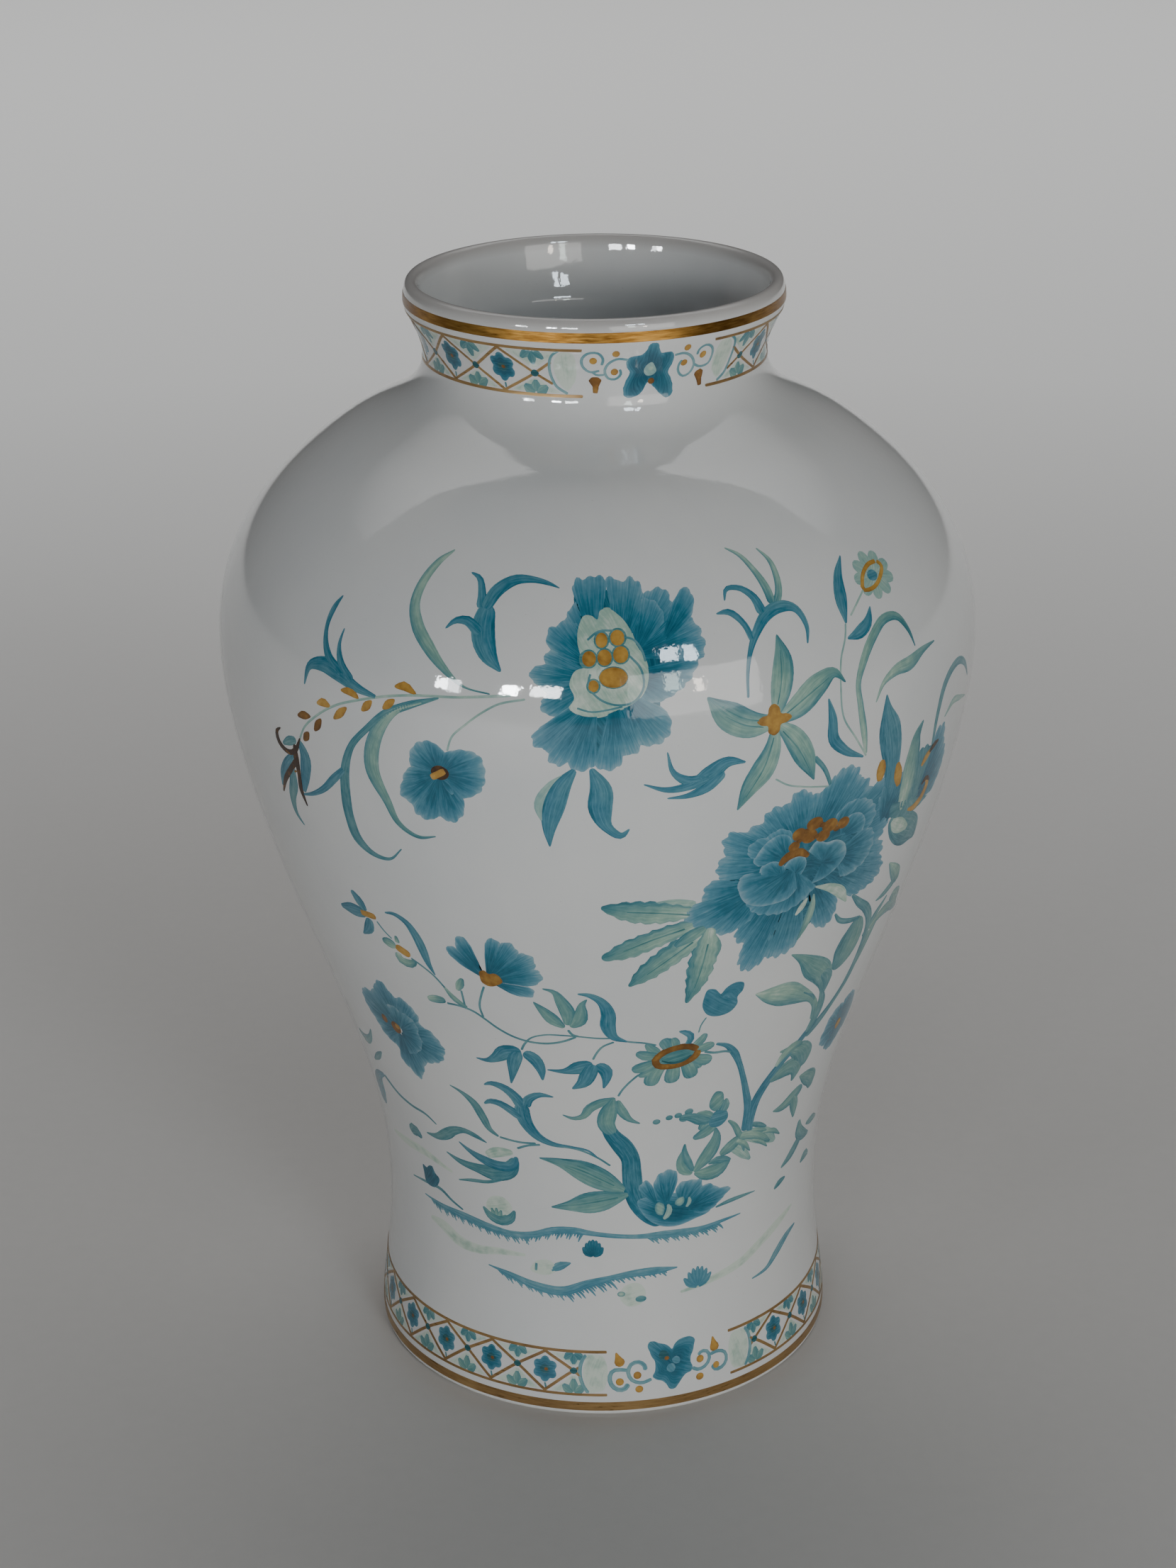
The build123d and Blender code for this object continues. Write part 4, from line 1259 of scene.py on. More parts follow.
def cut_leaves():
    """The fan of pale green leaves left of the large flower."""
    on_both_sides("cut_leaves", "green_enamel", [
        leaf([(14.5, 140.7), (10, 141.2), (6, 141.8), (3, 142.5), (0.1, 143.4)], [3, 6, 6.4, 4.8, 1],
             "green", 0, 0.1),
        leaf([(14.8, 142.6), (11, 143.4), (7.5, 143.6)], [2.2, 2.8, 1], "pale", -1),
        leaf([(15.8, 137.4), (12, 136), (8, 133.9), (4, 131.5), (0.2, 129.3)], [3, 4.8, 5.4, 5.2, 1.6],
             "green", 0, 0.1),
        leaf([(16.6, 135.4), (13.2, 131.4), (10, 127.8), (7, 124.2), (4.7, 121.3)], [3.6, 6, 6, 4.4, 0.6],
             "green", 1, 0.1),
        leaf([(17.4, 136), (17.3, 131), (16.9, 126), (16.3, 120.5), (15.1, 115)], [2.6, 5.6, 6.6, 4.8, 0.6],
             "green", 2, 0.1),
        leaf([(17.6, 134.6), (19.1, 130), (18.6, 125.6)], [1.4, 2.4, 0.6], "sea", 1),
        leaf([(16.8, 136.2), (14.2, 134), (11.8, 131.6)], [2.4, 3.6, 1], "sea", 3),
    ] + many(
        leaf, "vein", 4,
        ([(14, 140), (9, 141.3), (4, 142)], [0.5, 0.4, 0.2]),
        ([(13.4, 136.4), (8, 134), (3.6, 131.3)], [0.5, 0.4, 0.2]),
        ([(15, 132.6), (11.4, 128.6), (7.6, 124.4)], [0.5, 0.4, 0.2]),
        ([(17.5, 131.6), (17, 125), (16.2, 119)], [0.5, 0.4, 0.2]),
    ))


def bud_sprays():
    """The two small buds and the long blade at the left, with the bent bud stem under them."""
    on_both_sides("small_buds", "blue_enamel", many(
        leaf, "blue", 0,
        ([(-41.5, 132.5), (-42.3, 135), (-43.6, 137.6)], [1.5, 3, 1.2]),
        ([(-41.5, 132), (-44.5, 131.8), (-48, 131.3)], [2.5, 4, 1]),
        ([(-41, 131), (-42, 128), (-44.2, 125.3)], [2, 3, 0.3]),
        ([(-37, 134.3), (-35, 134.7), (-33, 133.5), (-31.5, 130), (-30.8, 126), (-30.4, 122.5),
          (-29.6, 119.6)],
         [0.4, 1.2, 1.8, 2.6, 2.6, 1.6, 0.3]),
    ))
    on_both_sides("small_bud_hearts", "ochre_enamel", many(
        leaf, "ochre", 2,
        ([(-43, 131.9), (-39.3, 132)], 1.9), ([(-36.8, 125.3), (-33.9, 123.5)], 2.4),
    ))
    on_both_sides("bud_stems", "green_enamel", many(
        leaf, "green", 0,
        ([(-36.6, 125), (-38, 125.6), (-39.6, 125.8)], [2, 3.2, 1.4]),
        ([(-36.8, 123.6), (-36.5, 121.6), (-34.4, 121.2), (-33, 122.4)], [1.6, 2.6, 2.6, 1.2]),
        ([(-36, 126.3), (-36, 128.4)], [1.8, 0.8]),
        ([(-33, 111.8), (-31, 112.4), (-28.8, 112.7)], [1.5, 2.6, 1.8]),
        ([(-25.8, 116.5), (-25, 118.5), (-24.2, 120.6)], [0.8, 2.2, 0.8]),
        ([(-28.5, 117), (-26.8, 113.8), (-24.5, 111.8)], [0.5, 1.8, 1]),
    ) + many(
        leaf, "line", 0,
        ([(-39.5, 131), (-38.4, 128.8), (-37, 127)], 0.5),
        ([(-34, 123), (-32, 121.5), (-30, 119.5), (-28.5, 117), (-27, 114)], 0.6),
        ([(-28.8, 112), (-26, 112), (-23.5, 111.2), (-21.5, 109.5), (-19.5, 107.5), (-16.5, 105.4),
          (-14, 104.5), (-10, 104.3), (-7, 105.2), (-4.5, 106.7)], 0.7),
        ([(-25, 112), (-25, 117)], 0.6),
        ([(-21.7, 109.8), (-22, 113), (-21.2, 116.5), (-20.3, 119.3)], 0.6),
    ))


def fan_daisy():
    """The blue flower seen from the side, with an ochre heart."""
    base = (-19.5, 121.3)
    on_both_sides("fan_flower_petals", "blue_enamel", many(
        petal, "petal", 0,
        (base, [(-21.3, 122.5), (-24.7, 125.5), (-26, 128), (-25.1, 129.5), (-23.9, 129)]),
        (base, [(-24, 128.4), (-23.8, 131.8), (-22.8, 132.8), (-21.5, 131), (-20.9, 127.5), (-20.6, 124)]),
        (base, [(-19.3, 124.5), (-19, 129.5), (-18.3, 132.7), (-17.2, 133.4), (-16.2, 132.3), (-16, 129)]),
        (base, [(-13.8, 129.6), (-12.6, 130.1), (-11.2, 129.4), (-10.7, 127.5), (-11, 125.4)]),
        (base, [(-12.2, 120.7), (-11.4, 119.6), (-11.6, 118.1), (-13.5, 117.6), (-15.6, 118.2),
                (-17.2, 119.8)]),
    ) + many(
        petal, "petal", 1,
        (base, [(-16.5, 130.6), (-15.7, 132.6), (-14.5, 132.5), (-13.4, 130.6), (-13.4, 128.4)]),
        (base, [(-11.5, 126), (-10.1, 125.2), (-9.8, 123.2), (-10.8, 121.6), (-12.4, 120.6)]),
    ))
    on_both_sides("fan_flower_heart", "ochre_enamel", [
        blob([(-20.8, 122), (-20.7, 123.6), (-19.8, 124), (-19, 123.2), (-18, 123.6), (-16.9, 122.6),
              (-16.6, 121.4), (-17.6, 120.2), (-19.5, 119.5), (-20.6, 120.4)], "ring", 3),
    ])


def middle_sprig():
    """The green sprig and blue sickle in the middle, and the heart-shaped bud."""
    on_both_sides("middle_sprig", "green_enamel", many(
        leaf, "sea", 1,
        ([(-6.5, 109.3), (-8.5, 111.5), (-10, 113.8), (-11.8, 116.5)], [1, 3.4, 2.6, 0.3]),
        ([(-6, 110), (-5.8, 113.5), (-6.8, 117), (-8, 119.7), (-10, 120.5)], [1.5, 3.6, 3, 1.4, 0.3]),
        ([(-5.5, 109.5), (-4, 111.5), (-3.4, 114), (-3.2, 116.3), (-2.3, 117.9)], [1.2, 3.8, 3, 1.6, 0.3]),
    ) + many(
        leaf, "line", 0,
        ([(-6, 108.8), (-5.2, 107.3), (-4, 106.8)], 0.7),
        ([(-14, 104.5), (-13, 105.6), (-10.5, 106.8), (-7, 107), (-4, 106.8), (0, 106.3), (2, 106.3)], 0.5),
        ([(2, 106.3), (5, 105.1), (8, 104.4), (10.5, 103.4)], 0.6),
        ([(2.5, 105.2), (0.3, 103.8), (-1, 101.5), (-1.6, 99.8)], 0.6),
        ([(19.5, 110), (18.7, 108), (18.4, 105.5)], 0.4),
    ))
    on_both_sides("middle_sickle", "blue_enamel", [
        leaf([(-4, 119.4), (-2, 119), (0, 117.3), (1.3, 113.5), (1.3, 109.8), (2.3, 106.7), (5, 105)],
             [0.4, 1.4, 2.2, 3.4, 3.6, 2.2, 0.4], "blue", 1),
        blob([(18.8, 118.2), (20.2, 117.9), (21.4, 116.2), (22.3, 117.8), (24, 118.9), (25.6, 118.4),
              (25.8, 116), (25, 114.4), (25.3, 112.4), (24.4, 110.4), (22, 109.5), (19.7, 110.3),
              (18.3, 112.8), (18.2, 115.8)],
             "blue", 0),
    ])


def blue_carnation():
    """The ragged blue flower at the left edge."""
    core = (-44, 98)
    on_both_sides("carnation_petals", "blue_enamel", many(
        petal, "petal", 0,
        (core, [(-47.6, 108.5), (-45.6, 111.4), (-44.4, 112), (-43, 110), (-42, 108.5), (-39.8, 109),
                (-38.4, 107.2)]),
        (core, [(-38.6, 108), (-37, 105), (-37.2, 102.5), (-35, 101.4), (-33.5, 99), (-32.5, 96.4)]),
        (core, [(-32.6, 97), (-34.2, 93), (-36.6, 91.4), (-39, 90.4), (-41.2, 86.5)]),
        (core, [(-40.6, 88), (-43, 84.3), (-45, 86), (-47.4, 88.4), (-46.8, 91.6), (-48.5, 92.8)]),
        (core, [(-48, 92.4), (-50.6, 94.4), (-51.6, 97), (-53.2, 101), (-53, 104.5), (-52, 106.2)]),
    ) + many(
        petal, "petal", 1,
        (core, [(-53, 104.6), (-51.6, 106.6), (-49, 107), (-47.4, 109), (-46, 110.2)]),
        (core, [(-41.6, 104.6), (-39.2, 103.8), (-38, 101.4), (-38.4, 98.6), (-37.6, 96.4)]),
        (core, [(-38.2, 97.6), (-39, 94.6), (-41.4, 92.2), (-44, 91)]),
        (core, [(-47.6, 103), (-45.6, 104.8), (-43.4, 105.6), (-41.4, 104.4)]),
    ))
    on_both_sides("carnation_heart", "ochre_enamel", [
        dot((-45, 98.4), 3, 3.6, "russet", 3), dot((-44.4, 98.9), 1.6, 1.8, "ochre", 4),
        dot((-48, 99.6), 1.9, 2.6, "russet", 3),
    ])


def daisy():
    """The green daisy with an ochre ring and blue eye, and its curving blue stems."""
    on_both_sides("daisy_petals", "green_enamel", many(
        leaf, "sea", 1,
        ([(11.5, 100), (8.5, 100.5), (6.6, 101.7)], [2, 3.2, 1.6]),
        ([(11, 98.4), (8, 97), (5.9, 96.2)], [2, 3.4, 2.6]),
        ([(14.5, 98), (14.3, 94), (14.3, 91.2)], [2, 3.8, 3.7]),
        ([(18, 98.6), (20.5, 97), (22.4, 96.6)], [2, 3.8, 3]),
        ([(18.6, 100.4), (20.8, 101), (22.3, 101.3)], [2, 3, 1.8]),
        ([(14.2, 101.6), (14, 103.6), (13.4, 105.2)], [2, 2.4, 1.4]),
    ) + many(
        leaf, "sea", 0,
        ([(12.5, 98.4), (10.5, 94.5), (9.8, 91)], [2.6, 3.9, 3.7]),
        ([(16.4, 98), (17.8, 94.7), (18.6, 91.9)], [2.4, 3.8, 3.5]),
        ([(17.6, 101), (19.3, 103.4), (20, 105.2)], [2, 2.4, 1.2]),
        ([(11.4, 97), (9, 95), (7.2, 94.4)], [1.4, 2.4, 1.2]),
        ([(11.2, 100.8), (9.4, 102.6), (8.4, 104.2)], [2, 2.4, 1]),
        ([(18.2, 98), (19.4, 96), (20, 94.6)], [1.4, 2.2, 1.2]),
    ) + many(
        leaf, "line", 0,
        ([(7.5, 95), (5.5, 92.5), (4, 90), (3.4, 88.5)], 0.6),
        ([(20.3, 99.5), (22.5, 98.6), (25, 98.3), (26.8, 97.5)], 0.8),
    ))
    ring = [(18.9, 100.6), (17.2, 101.8), (14.5, 102), (11.8, 100.8), (10.5, 98.9), (11, 97.3), (13.7, 96.6),
            (16.8, 97.3), (18.6, 98.8), (18.9, 100.6)]
    on_both_sides("daisy_heart", "ochre_enamel", [leaf(ring, 2.0, "ring", 4)])
    on_both_sides("daisy_eye_and_stems", "blue_enamel", [
        blob([(18.4, 100.4), (16.5, 101.5), (13.6, 101.3), (11.2, 99.6), (11, 97.8), (13.6, 97), (17, 98)],
             "vein", 3),
        leaf([(11.6, 98.7), (13.4, 97.7), (16.2, 98), (17.8, 99.4)], [0.4, 0.9, 0.9, 0.4], "knot", 5),
        leaf([(16.4, 102), (17, 105), (15.8, 106.3), (14.4, 106.9)], [1.4, 1.8, 1.6, 0.4], "blue", 1),
        leaf([(13, 101.4), (12.1, 104.2), (11.6, 105.2)], [2, 3.3, 2.4], "teal", 1),
        leaf([(22.5, 101.3), (25, 100), (27, 97.5), (29, 93.5), (31, 88.5), (33, 83), (34.5, 78.5),
              (35.2, 74), (35.5, 71)], [0.8, 1.4, 2, 1.6, 1.6, 2, 2.4, 2.8, 3], "blue"),
    ])


def bells():
    """The two small blue bells that hang under the middle stem."""
    on_both_sides("left_bell", "blue_enamel", many(
        leaf, "blue", 0,
        ([(-15.3, 101), (-18.5, 100.3), (-21, 98), (-23, 96.8), (-25.5, 96.9)], [3.5, 4.6, 2.8, 1.4, 0.3]),
        ([(-15, 101), (-13.2, 99.5), (-12, 96.5), (-11.8, 92.8)], [3, 3.6, 2.6, 0.4]),
    ) + many(
        leaf, "blue", 1, ([(-16, 101), (-17.2, 98), (-17.8, 95), (-18.7, 90.7)], [3, 3.6, 2.4, 0.3]),
    ) + [leaf([(-15.3, 101.5), (-14.5, 103.5), (-13.8, 104.6)], 0.6, "line")])
    on_both_sides("middle_bell", "blue_enamel", many(
        leaf, "blue", 0,
        ([(-1.5, 98.6), (-4.5, 97.3), (-7, 96.2), (-10.8, 96.3)], [3, 4.2, 2, 0.3]),
        ([(-1, 98.5), (0.8, 96.5), (1, 94), (0.4, 91)], [3, 3.4, 2.2, 0.4]),
    ) + many(
        leaf, "blue", 1, ([(-1.5, 98.5), (-2.5, 95.5), (-3.5, 93), (-6, 90.8)], [3, 4, 3.4, 0.4]),
    ))


def right_stems():
    """The main stem down the right side, with its green leaves and the flower at the edge."""
    on_both_sides("main_right_stem", "blue_enamel", many(
        leaf, "teal", 1,
        ([(45.5, 134), (48.5, 130.5), (51.5, 127.5), (54.5, 122.5), (55.5, 118), (55.8, 112), (55, 106),
          (52.5, 101), (49.5, 97), (46.5, 94)], [0.8, 2.2, 2.6, 2.4, 2.4, 2.4, 2.4, 2.2, 3, 2.4]),
        ([(42.3, 130.5), (44, 128), (47, 126.3), (50.5, 125.5)], [0.6, 1.4, 1.6, 1.2]),
    ) + many(
        leaf, "blue", 0,
        ([(47, 96), (44.5, 92.5), (41, 88.5), (38.5, 84.5), (36.6, 80), (36, 75), (37, 70)],
         [2.4, 2.4, 2.6, 3, 3, 3, 1.5]),
    ))
    on_both_sides("right_stem_leaves", "green_enamel", many(
        leaf, "sea", 0,
        ([(34.4, 122.8), (37.5, 120.3), (41, 116.5), (44.5, 113), (46.5, 109), (47, 105.5)],
         [0.3, 2.8, 6.5, 6.5, 4, 1]),
        ([(50, 126), (50, 121), (49.4, 116), (48, 112)], [3, 9, 9, 3]),
        ([(54, 105), (55.8, 110), (56.8, 116), (58.4, 121)], [0.8, 2.6, 3.6, 1]),
        ([(56, 119.5), (60, 122), (64, 121.5), (68, 118.5)], [2, 4, 4, 1]),
        ([(61.5, 126), (64, 123.5), (66, 120.5), (69, 118.5)], [3, 6, 4, 0.5]),
    ) + many(
        leaf, "green", 1,
        ([(28.6, 113.8), (32, 112.4), (35.5, 111.2), (40, 108.8), (43.5, 106.5), (46, 103), (46.8, 99)],
         [0.3, 5, 7.4, 5, 2.4, 2, 1.6]),
        ([(54.6, 137.7), (57, 135), (59.5, 132), (61, 129.5)], [0.4, 3, 4, 2]),
        ([(39.6, 88), (41.6, 91.2), (44.4, 92.6), (46.6, 92)], [0.8, 3, 3, 0.6]),
    ) + many(
        leaf, "teal", 1,
        ([(54.3, 127.7), (57, 128.5), (60, 130.5)], [0.3, 2.4, 3]),
        ([(59, 127), (56.6, 123), (54.4, 118)], [0.5, 2.6, 1]),
        ([(46.4, 95), (47.6, 99), (47.6, 104), (46, 108)], [1.6, 3, 2.6, 0.8]),
        ([(46.6, 99), (45.6, 103.5), (43.5, 107), (40.5, 109.6)], [1.6, 1.6, 1.6, 0.6]),
        ([(44.5, 113.5), (46.6, 111), (47.2, 107)], [3, 3.6, 1.2]),
    ))
    on_both_sides("lower_right_leaves", "green_enamel", many(
        leaf, "sea", 0,
        ([(39.5, 92.6), (43, 91.8), (46.5, 90), (49, 86.5), (49.7, 84)], [0.4, 3, 6, 6, 2]),
        ([(39, 84), (42, 85.5), (45, 86), (47.5, 84), (47.2, 80.6)], [1.5, 5, 6, 4.5, 0.5]),
        ([(43.2, 73.5), (46.5, 73.5), (50, 75), (53, 77)], [0.3, 3, 4.5, 3]),
        ([(50, 80.8), (53, 79.5), (56, 77.5), (57.5, 74)], [0.3, 4, 5, 1.5]),
        ([(50, 75), (52, 71), (53, 67.5)], [3, 3, 0.5]),
    ))
    core = (61, 91)
    rims = [[(54.4, 91), (54.6, 95), (57.6, 97.6), (60, 97)], [(59, 98), (62, 99), (65, 97), (66.6, 93.6)],
            [(66.4, 95), (68, 91), (67, 87), (64, 85.6)], [(65, 86), (61.6, 83.4), (58, 84.8), (56.8, 87.6)],
            [(57.6, 85.8), (54.6, 87.6), (54, 91), (55.4, 93.4)]]
    on_both_sides("edge_flower_petals", "blue_enamel",
                  [petal(core, rim, "petal", k % 2) for k, rim in enumerate(rims)])
    on_both_sides("edge_flower_heart", "ochre_enamel", [dot((61, 90.4), 2.6, 3, "ochre", 3)])


def lower_plants():
    """The blue antler and its neighbours above the ground lines on the left."""
    on_both_sides("low_antler", "blue_enamel", many(
        leaf, "blue", 0,
        ([(-1, 70), (-3, 72), (-7, 73), (-11, 73.5), (-14, 75), (-16.5, 78.5), (-17.3, 82), (-17, 85)],
         [0.4, 0.6, 0.9, 1.6, 2.4, 3.4, 4, 3.5]),
        ([(-17, 83.5), (-18.5, 87), (-21, 89.3), (-23.5, 89.7), (-25.2, 88.8)], [3.4, 3, 2.4, 1.4, 0.3]),
        ([(-16.5, 84), (-15.5, 86.5), (-13, 88.3), (-9.8, 88)], [3, 2.4, 1.8, 0.3]),
        ([(-17.5, 80.5), (-20, 82.5), (-22.5, 84), (-24.5, 84), (-26.2, 82.8)], [3, 2.6, 2.2, 1.6, 0.4]),
    ))
    on_both_sides("left_blade", "green_enamel", [
        leaf([(-34.3, 85.9), (-32, 85), (-29, 82.5), (-27.3, 78.5), (-26, 75), (-24, 73.4)],
             [0.3, 1, 2.4, 2.6, 1.6, 0.6], "teal"),
    ] + many(
        leaf, "line", 0,
        ([(-24, 73.4), (-19, 72.9), (-15, 73.2)], 0.7), ([(-20, 70.8), (-17, 72.3), (-14, 73)], 0.7),
        ([(-11, 73.3), (-5, 72.2), (-1, 70), (2, 67.5)], 0.6),
        ([(-60, 77.5), (-55, 74.5), (-50, 73.3), (-45, 72.8), (-42, 71)], [1.2, 1, 0.9, 0.8, 0.4]),
    ))
    on_both_sides("trumpet_flower", "green_enamel", many(
        leaf, "sea", 0,
        ([(3, 88), (0, 86.8), (-2.5, 85), (-4, 82.5), (-6, 81.8), (-8.5, 82.8)],
         [1, 2.6, 2.6, 1.8, 1.2, 0.3]),
        ([(3.3, 87.5), (4.3, 84), (6, 81.3), (8.5, 79.8)], [1, 2.6, 1.6, 0.3]),
    ) + many(leaf, "sea", 1, ([(2.5, 88), (1.5, 84), (1, 80), (2.5, 77)], [1, 4.2, 4.2, 3])))
    on_both_sides("swallow_bud", "green_enamel", many(
        leaf, "teal", 0,
        ([(-41, 63.7), (-37, 62.4), (-32, 62), (-27, 62), (-23, 63.7), (-20.5, 67.7)],
         [0.3, 1.8, 3, 5, 4.8, 2]),
        ([(-47, 66.8), (-43, 67.3), (-39.5, 69.3), (-36.5, 71.5), (-33.5, 72.5), (-30.5, 71.9),
          (-27.5, 70.6)],
         [0.3, 2, 3.2, 2.6, 1.8, 1.6, 0.3]),
        ([(-54.2, 64), (-52, 65.4), (-49.4, 64)], [2.4, 4, 1]),
    ) + many(
        leaf, "blue", 1,
        ([(-36, 68.5), (-33, 66.6), (-29.5, 65.2), (-25, 64.4), (-21.5, 65.4), (-20.3, 68.3)],
         [0.3, 1.6, 2.8, 3.2, 2.8, 0.8]),
    ) + [
        leaf([(-38.5, 56.5), (-34, 57.8), (-29, 58.8), (-25, 60.6)], [0.3, 1, 1, 1], "teal", 1),
        leaf([(-28.5, 66.8), (-25, 68.6), (-21, 69.4)], [2, 3.2, 1.6], "mint"),
    ])
    on_both_sides("left_edge_bud", "blue_enamel", [
        leaf([(-60, 77.5), (-64, 75.5), (-67, 71), (-68, 65.5)], [1, 3, 6, 3], "blue"),
        leaf([(-57, 92), (-60, 88), (-64, 86), (-67, 87)], [0.4, 2, 3, 1], "teal"),
        leaf([(-56, 86), (-59, 83.4), (-63, 80.4)], [0.4, 2, 0.6], "teal", 1),
    ])


def bead_plant():
    """The row of beads and the teal plants between the daisy and the ground."""
    on_both_sides("bead_plant", "green_enamel", many(
        dot, "teal", 0,
        ((12, 79.9), 1.9, 1.7), ((14.8, 80.7), 1.8, 1.6), ((16.8, 81), 1.9, 1.7), ((18.3, 79.9), 2.6, 2.4),
        ((19.2, 81.6), 2.2, 2),
    ) + [
        blob([(24, 81.6), (23.9, 84.2), (25, 86.3), (26.4, 85.8), (27.3, 83.4), (27.4, 80.8), (25.6, 80)],
             "sea", 0),
        blob([(24.4, 77.4), (26, 80.2), (28.5, 79.6), (29.4, 77), (27.6, 75), (25, 75.6)], "blue", 3),
    ] + many(
        leaf, "teal", 2,
        ([(27.8, 83.4), (28, 81.2), (27.2, 78.6)], [0.6, 2.4, 2.2]),
        ([(18, 80.4), (20.4, 79.6), (22.6, 78.2), (25, 77.4)], [1.6, 2.8, 3.2, 2.2]),
    ) + many(
        leaf, "sea", 1,
        ([(21, 80.6), (23, 80.2), (25.4, 78.6)], [0.6, 2, 1.6]),
        ([(24.8, 79), (23.4, 77), (22.4, 75.2)], [1.4, 2.6, 1]),
        ([(26.4, 76), (23.6, 74), (21, 73)], [3, 3.4, 1.2]),
    ))
    on_both_sides("teal_flower", "green_enamel", many(
        leaf, "teal", 0,
        ([(19.3, 72), (19.5, 69), (20.8, 66), (22.3, 63)], [0.4, 1.8, 2, 1.2]),
        ([(26, 64.2), (28.6, 64.8), (30.6, 64.2), (32.8, 63.6)], [0.6, 2.4, 2.4, 0.4]),
        ([(37, 72.5), (40, 71), (42.5, 69.5)], [1.5, 1.6, 0.5]),
    ) + many(
        leaf, "sea", 0,
        ([(22.4, 62.8), (24.4, 65.2), (26.4, 68.4), (27.2, 72), (26.6, 75)], [1, 3.6, 4.4, 2.6, 0.4]),
        ([(22.2, 62.4), (20, 63.8), (18.7, 67), (19, 70)], [1, 2.8, 2.2, 0.4]),
        ([(22.5, 62.6), (26, 61.6), (29.5, 61.9), (32.5, 63.6)], [0.8, 4.4, 4.6, 0.4]),
        ([(29, 66), (32, 67.8), (34.5, 70)], [2, 4, 2.4]),
        ([(29.6, 76.2), (31.4, 74.4), (33.4, 71.2), (35, 68.4), (36.4, 64.6)], [0.6, 1.4, 1.8, 1.6, 0.5]),
    ) + many(
        leaf, "pale", -1,
        ([(33, 70.4), (38, 69), (43, 66.6), (47, 63.6)], [1.4, 4.4, 4.8, 1]),
        ([(31, 68), (34, 66.2), (37, 63.4), (39, 61.4)], [1.4, 3, 2.4, 0.6]),
    ) + many(
        leaf, "green", 1,
        ([(34, 70), (38, 69), (42, 66.5), (45, 64.3)], [2.5, 3, 2.4, 0.5]),
        ([(33, 69), (36, 67), (38.4, 64)], [1.6, 1.6, 0.3]),
        ([(38, 67.4), (41, 66), (44.4, 63)], [0.6, 1.5, 0.3]),
        ([(41, 68.4), (45, 67.4), (48.6, 64.8)], [0.6, 1.6, 0.3]),
        ([(37, 70.6), (41, 69.2), (43, 68.2)], [1, 1.4, 0.3]),
    ))


def water_flower():
    """The big blue flower low on the right of the middle, its thick stem and broad leaves."""
    on_both_sides("low_flower_stem", "blue_enamel", [
        leaf([(1, 80), (2.2, 77), (4.5, 73.5), (6.5, 69.5), (7, 65), (7.5, 60.5), (9, 56), (12, 52.3),
              (15.5, 49.7)],
             [3.2, 4, 5, 4.6, 4.8, 5, 5, 5, 4], "stem"),
    ])
    on_both_sides("broad_leaves", "green_enamel", many(
        leaf, "sea", 1,
        ([(5.5, 60), (2.5, 61.7), (-1, 63.9), (-5, 66.3), (-10, 68.2), (-14.8, 69)],
         [1.5, 4.6, 6.6, 6.2, 2.8, 0.3]),
        ([(6.5, 59), (4, 58.3), (0, 57.3), (-4, 56.5), (-8, 55.6), (-12.8, 54.8)],
         [1, 3.4, 6.2, 6.2, 3.2, 0.3]),
    ) + many(
        leaf, "vein", 3,
        ([(-13, 68.6), (-5, 66.2), (3, 61.6)], [0.2, 0.5, 0.5]),
        ([(-11, 55.3), (-4, 56.5), (4, 58.2)], [0.2, 0.5, 0.5]),
        ([(-9, 67.2), (-4, 64.8), (0, 62.6)], [0.2, 0.35, 0.2]),
        ([(-6, 67.6), (-1, 65.4), (3, 62.6)], [0.2, 0.35, 0.2]),
    ))
    on_both_sides("low_flower_petals", "blue_enamel", [
        blob([(8, 57), (9.5, 53), (12.6, 49.8), (18, 48.1), (24, 49.1), (28.4, 50.5), (27, 54), (22, 57),
              (14, 58)],
             "petal", 1, (18, 52)),
        petal((14, 54), [(8.6, 59.6), (9.2, 61.7), (10.6, 62.4), (12, 61), (12.8, 58)], "petal", 2),
        petal((16, 54), [(13, 57.5), (12.4, 60.2), (12.8, 62.4), (14, 64.1), (15.6, 64.7), (17.5, 64.3),
                         (18.4, 62), (17.9, 58.5)], "petal", 3),
        petal((19.6, 53), [(18.2, 57), (18.3, 59.2), (19.5, 60.5), (22, 60.5), (24.6, 60.1), (25.2, 58),
                           (24.4, 55)],
              "petal", 3),
        petal((21, 52.5), [(24, 56.4), (25, 58), (27.5, 58.1), (29.4, 56.6), (33.6, 55.1), (31.2, 52.8),
                           (29, 51), (25, 50.1)], "petal", 4),
        blob([(12.9, 54.6), (13.8, 55.9), (15, 55.4), (15.6, 53.4), (15, 51.8), (13.8, 52.2), (13.1, 53.4)],
             "green", 5),
        leaf([(15.2, 50.6), (16.4, 51.8), (16.8, 53.6), (16.2, 55)], [0.6, 1.6, 1.4, 0.4], "pale", 5),
        blob([(18.1, 54.5), (18.9, 56.2), (20.3, 56.3), (20.7, 54.9), (19.7, 53.7)], "green", 6),
        leaf([(21.2, 53), (22, 54.4), (21.8, 56)], [0.5, 1.2, 0.4], "pale", 6),
    ])


GROUND = [(-53, 47), (-45, 46.6), (-38, 46.5), (-30, 45.7), (-24, 45.4), (-18, 46.3), (-12, 48.3), (-7, 48.6),
          (-3, 48), (3, 47.2), (10, 46.6), (15, 46.5), (20, 46.2), (26, 46), (32, 46.4), (38, 46.6)]
LOWER_GROUND = [(-31, 35.3), (-25, 34.4), (-18, 32.6), (-10, 32), (-4, 34.2), (2, 35.8), (8, 36.7),
                (13, 36.8), (19.5, 36.8)]


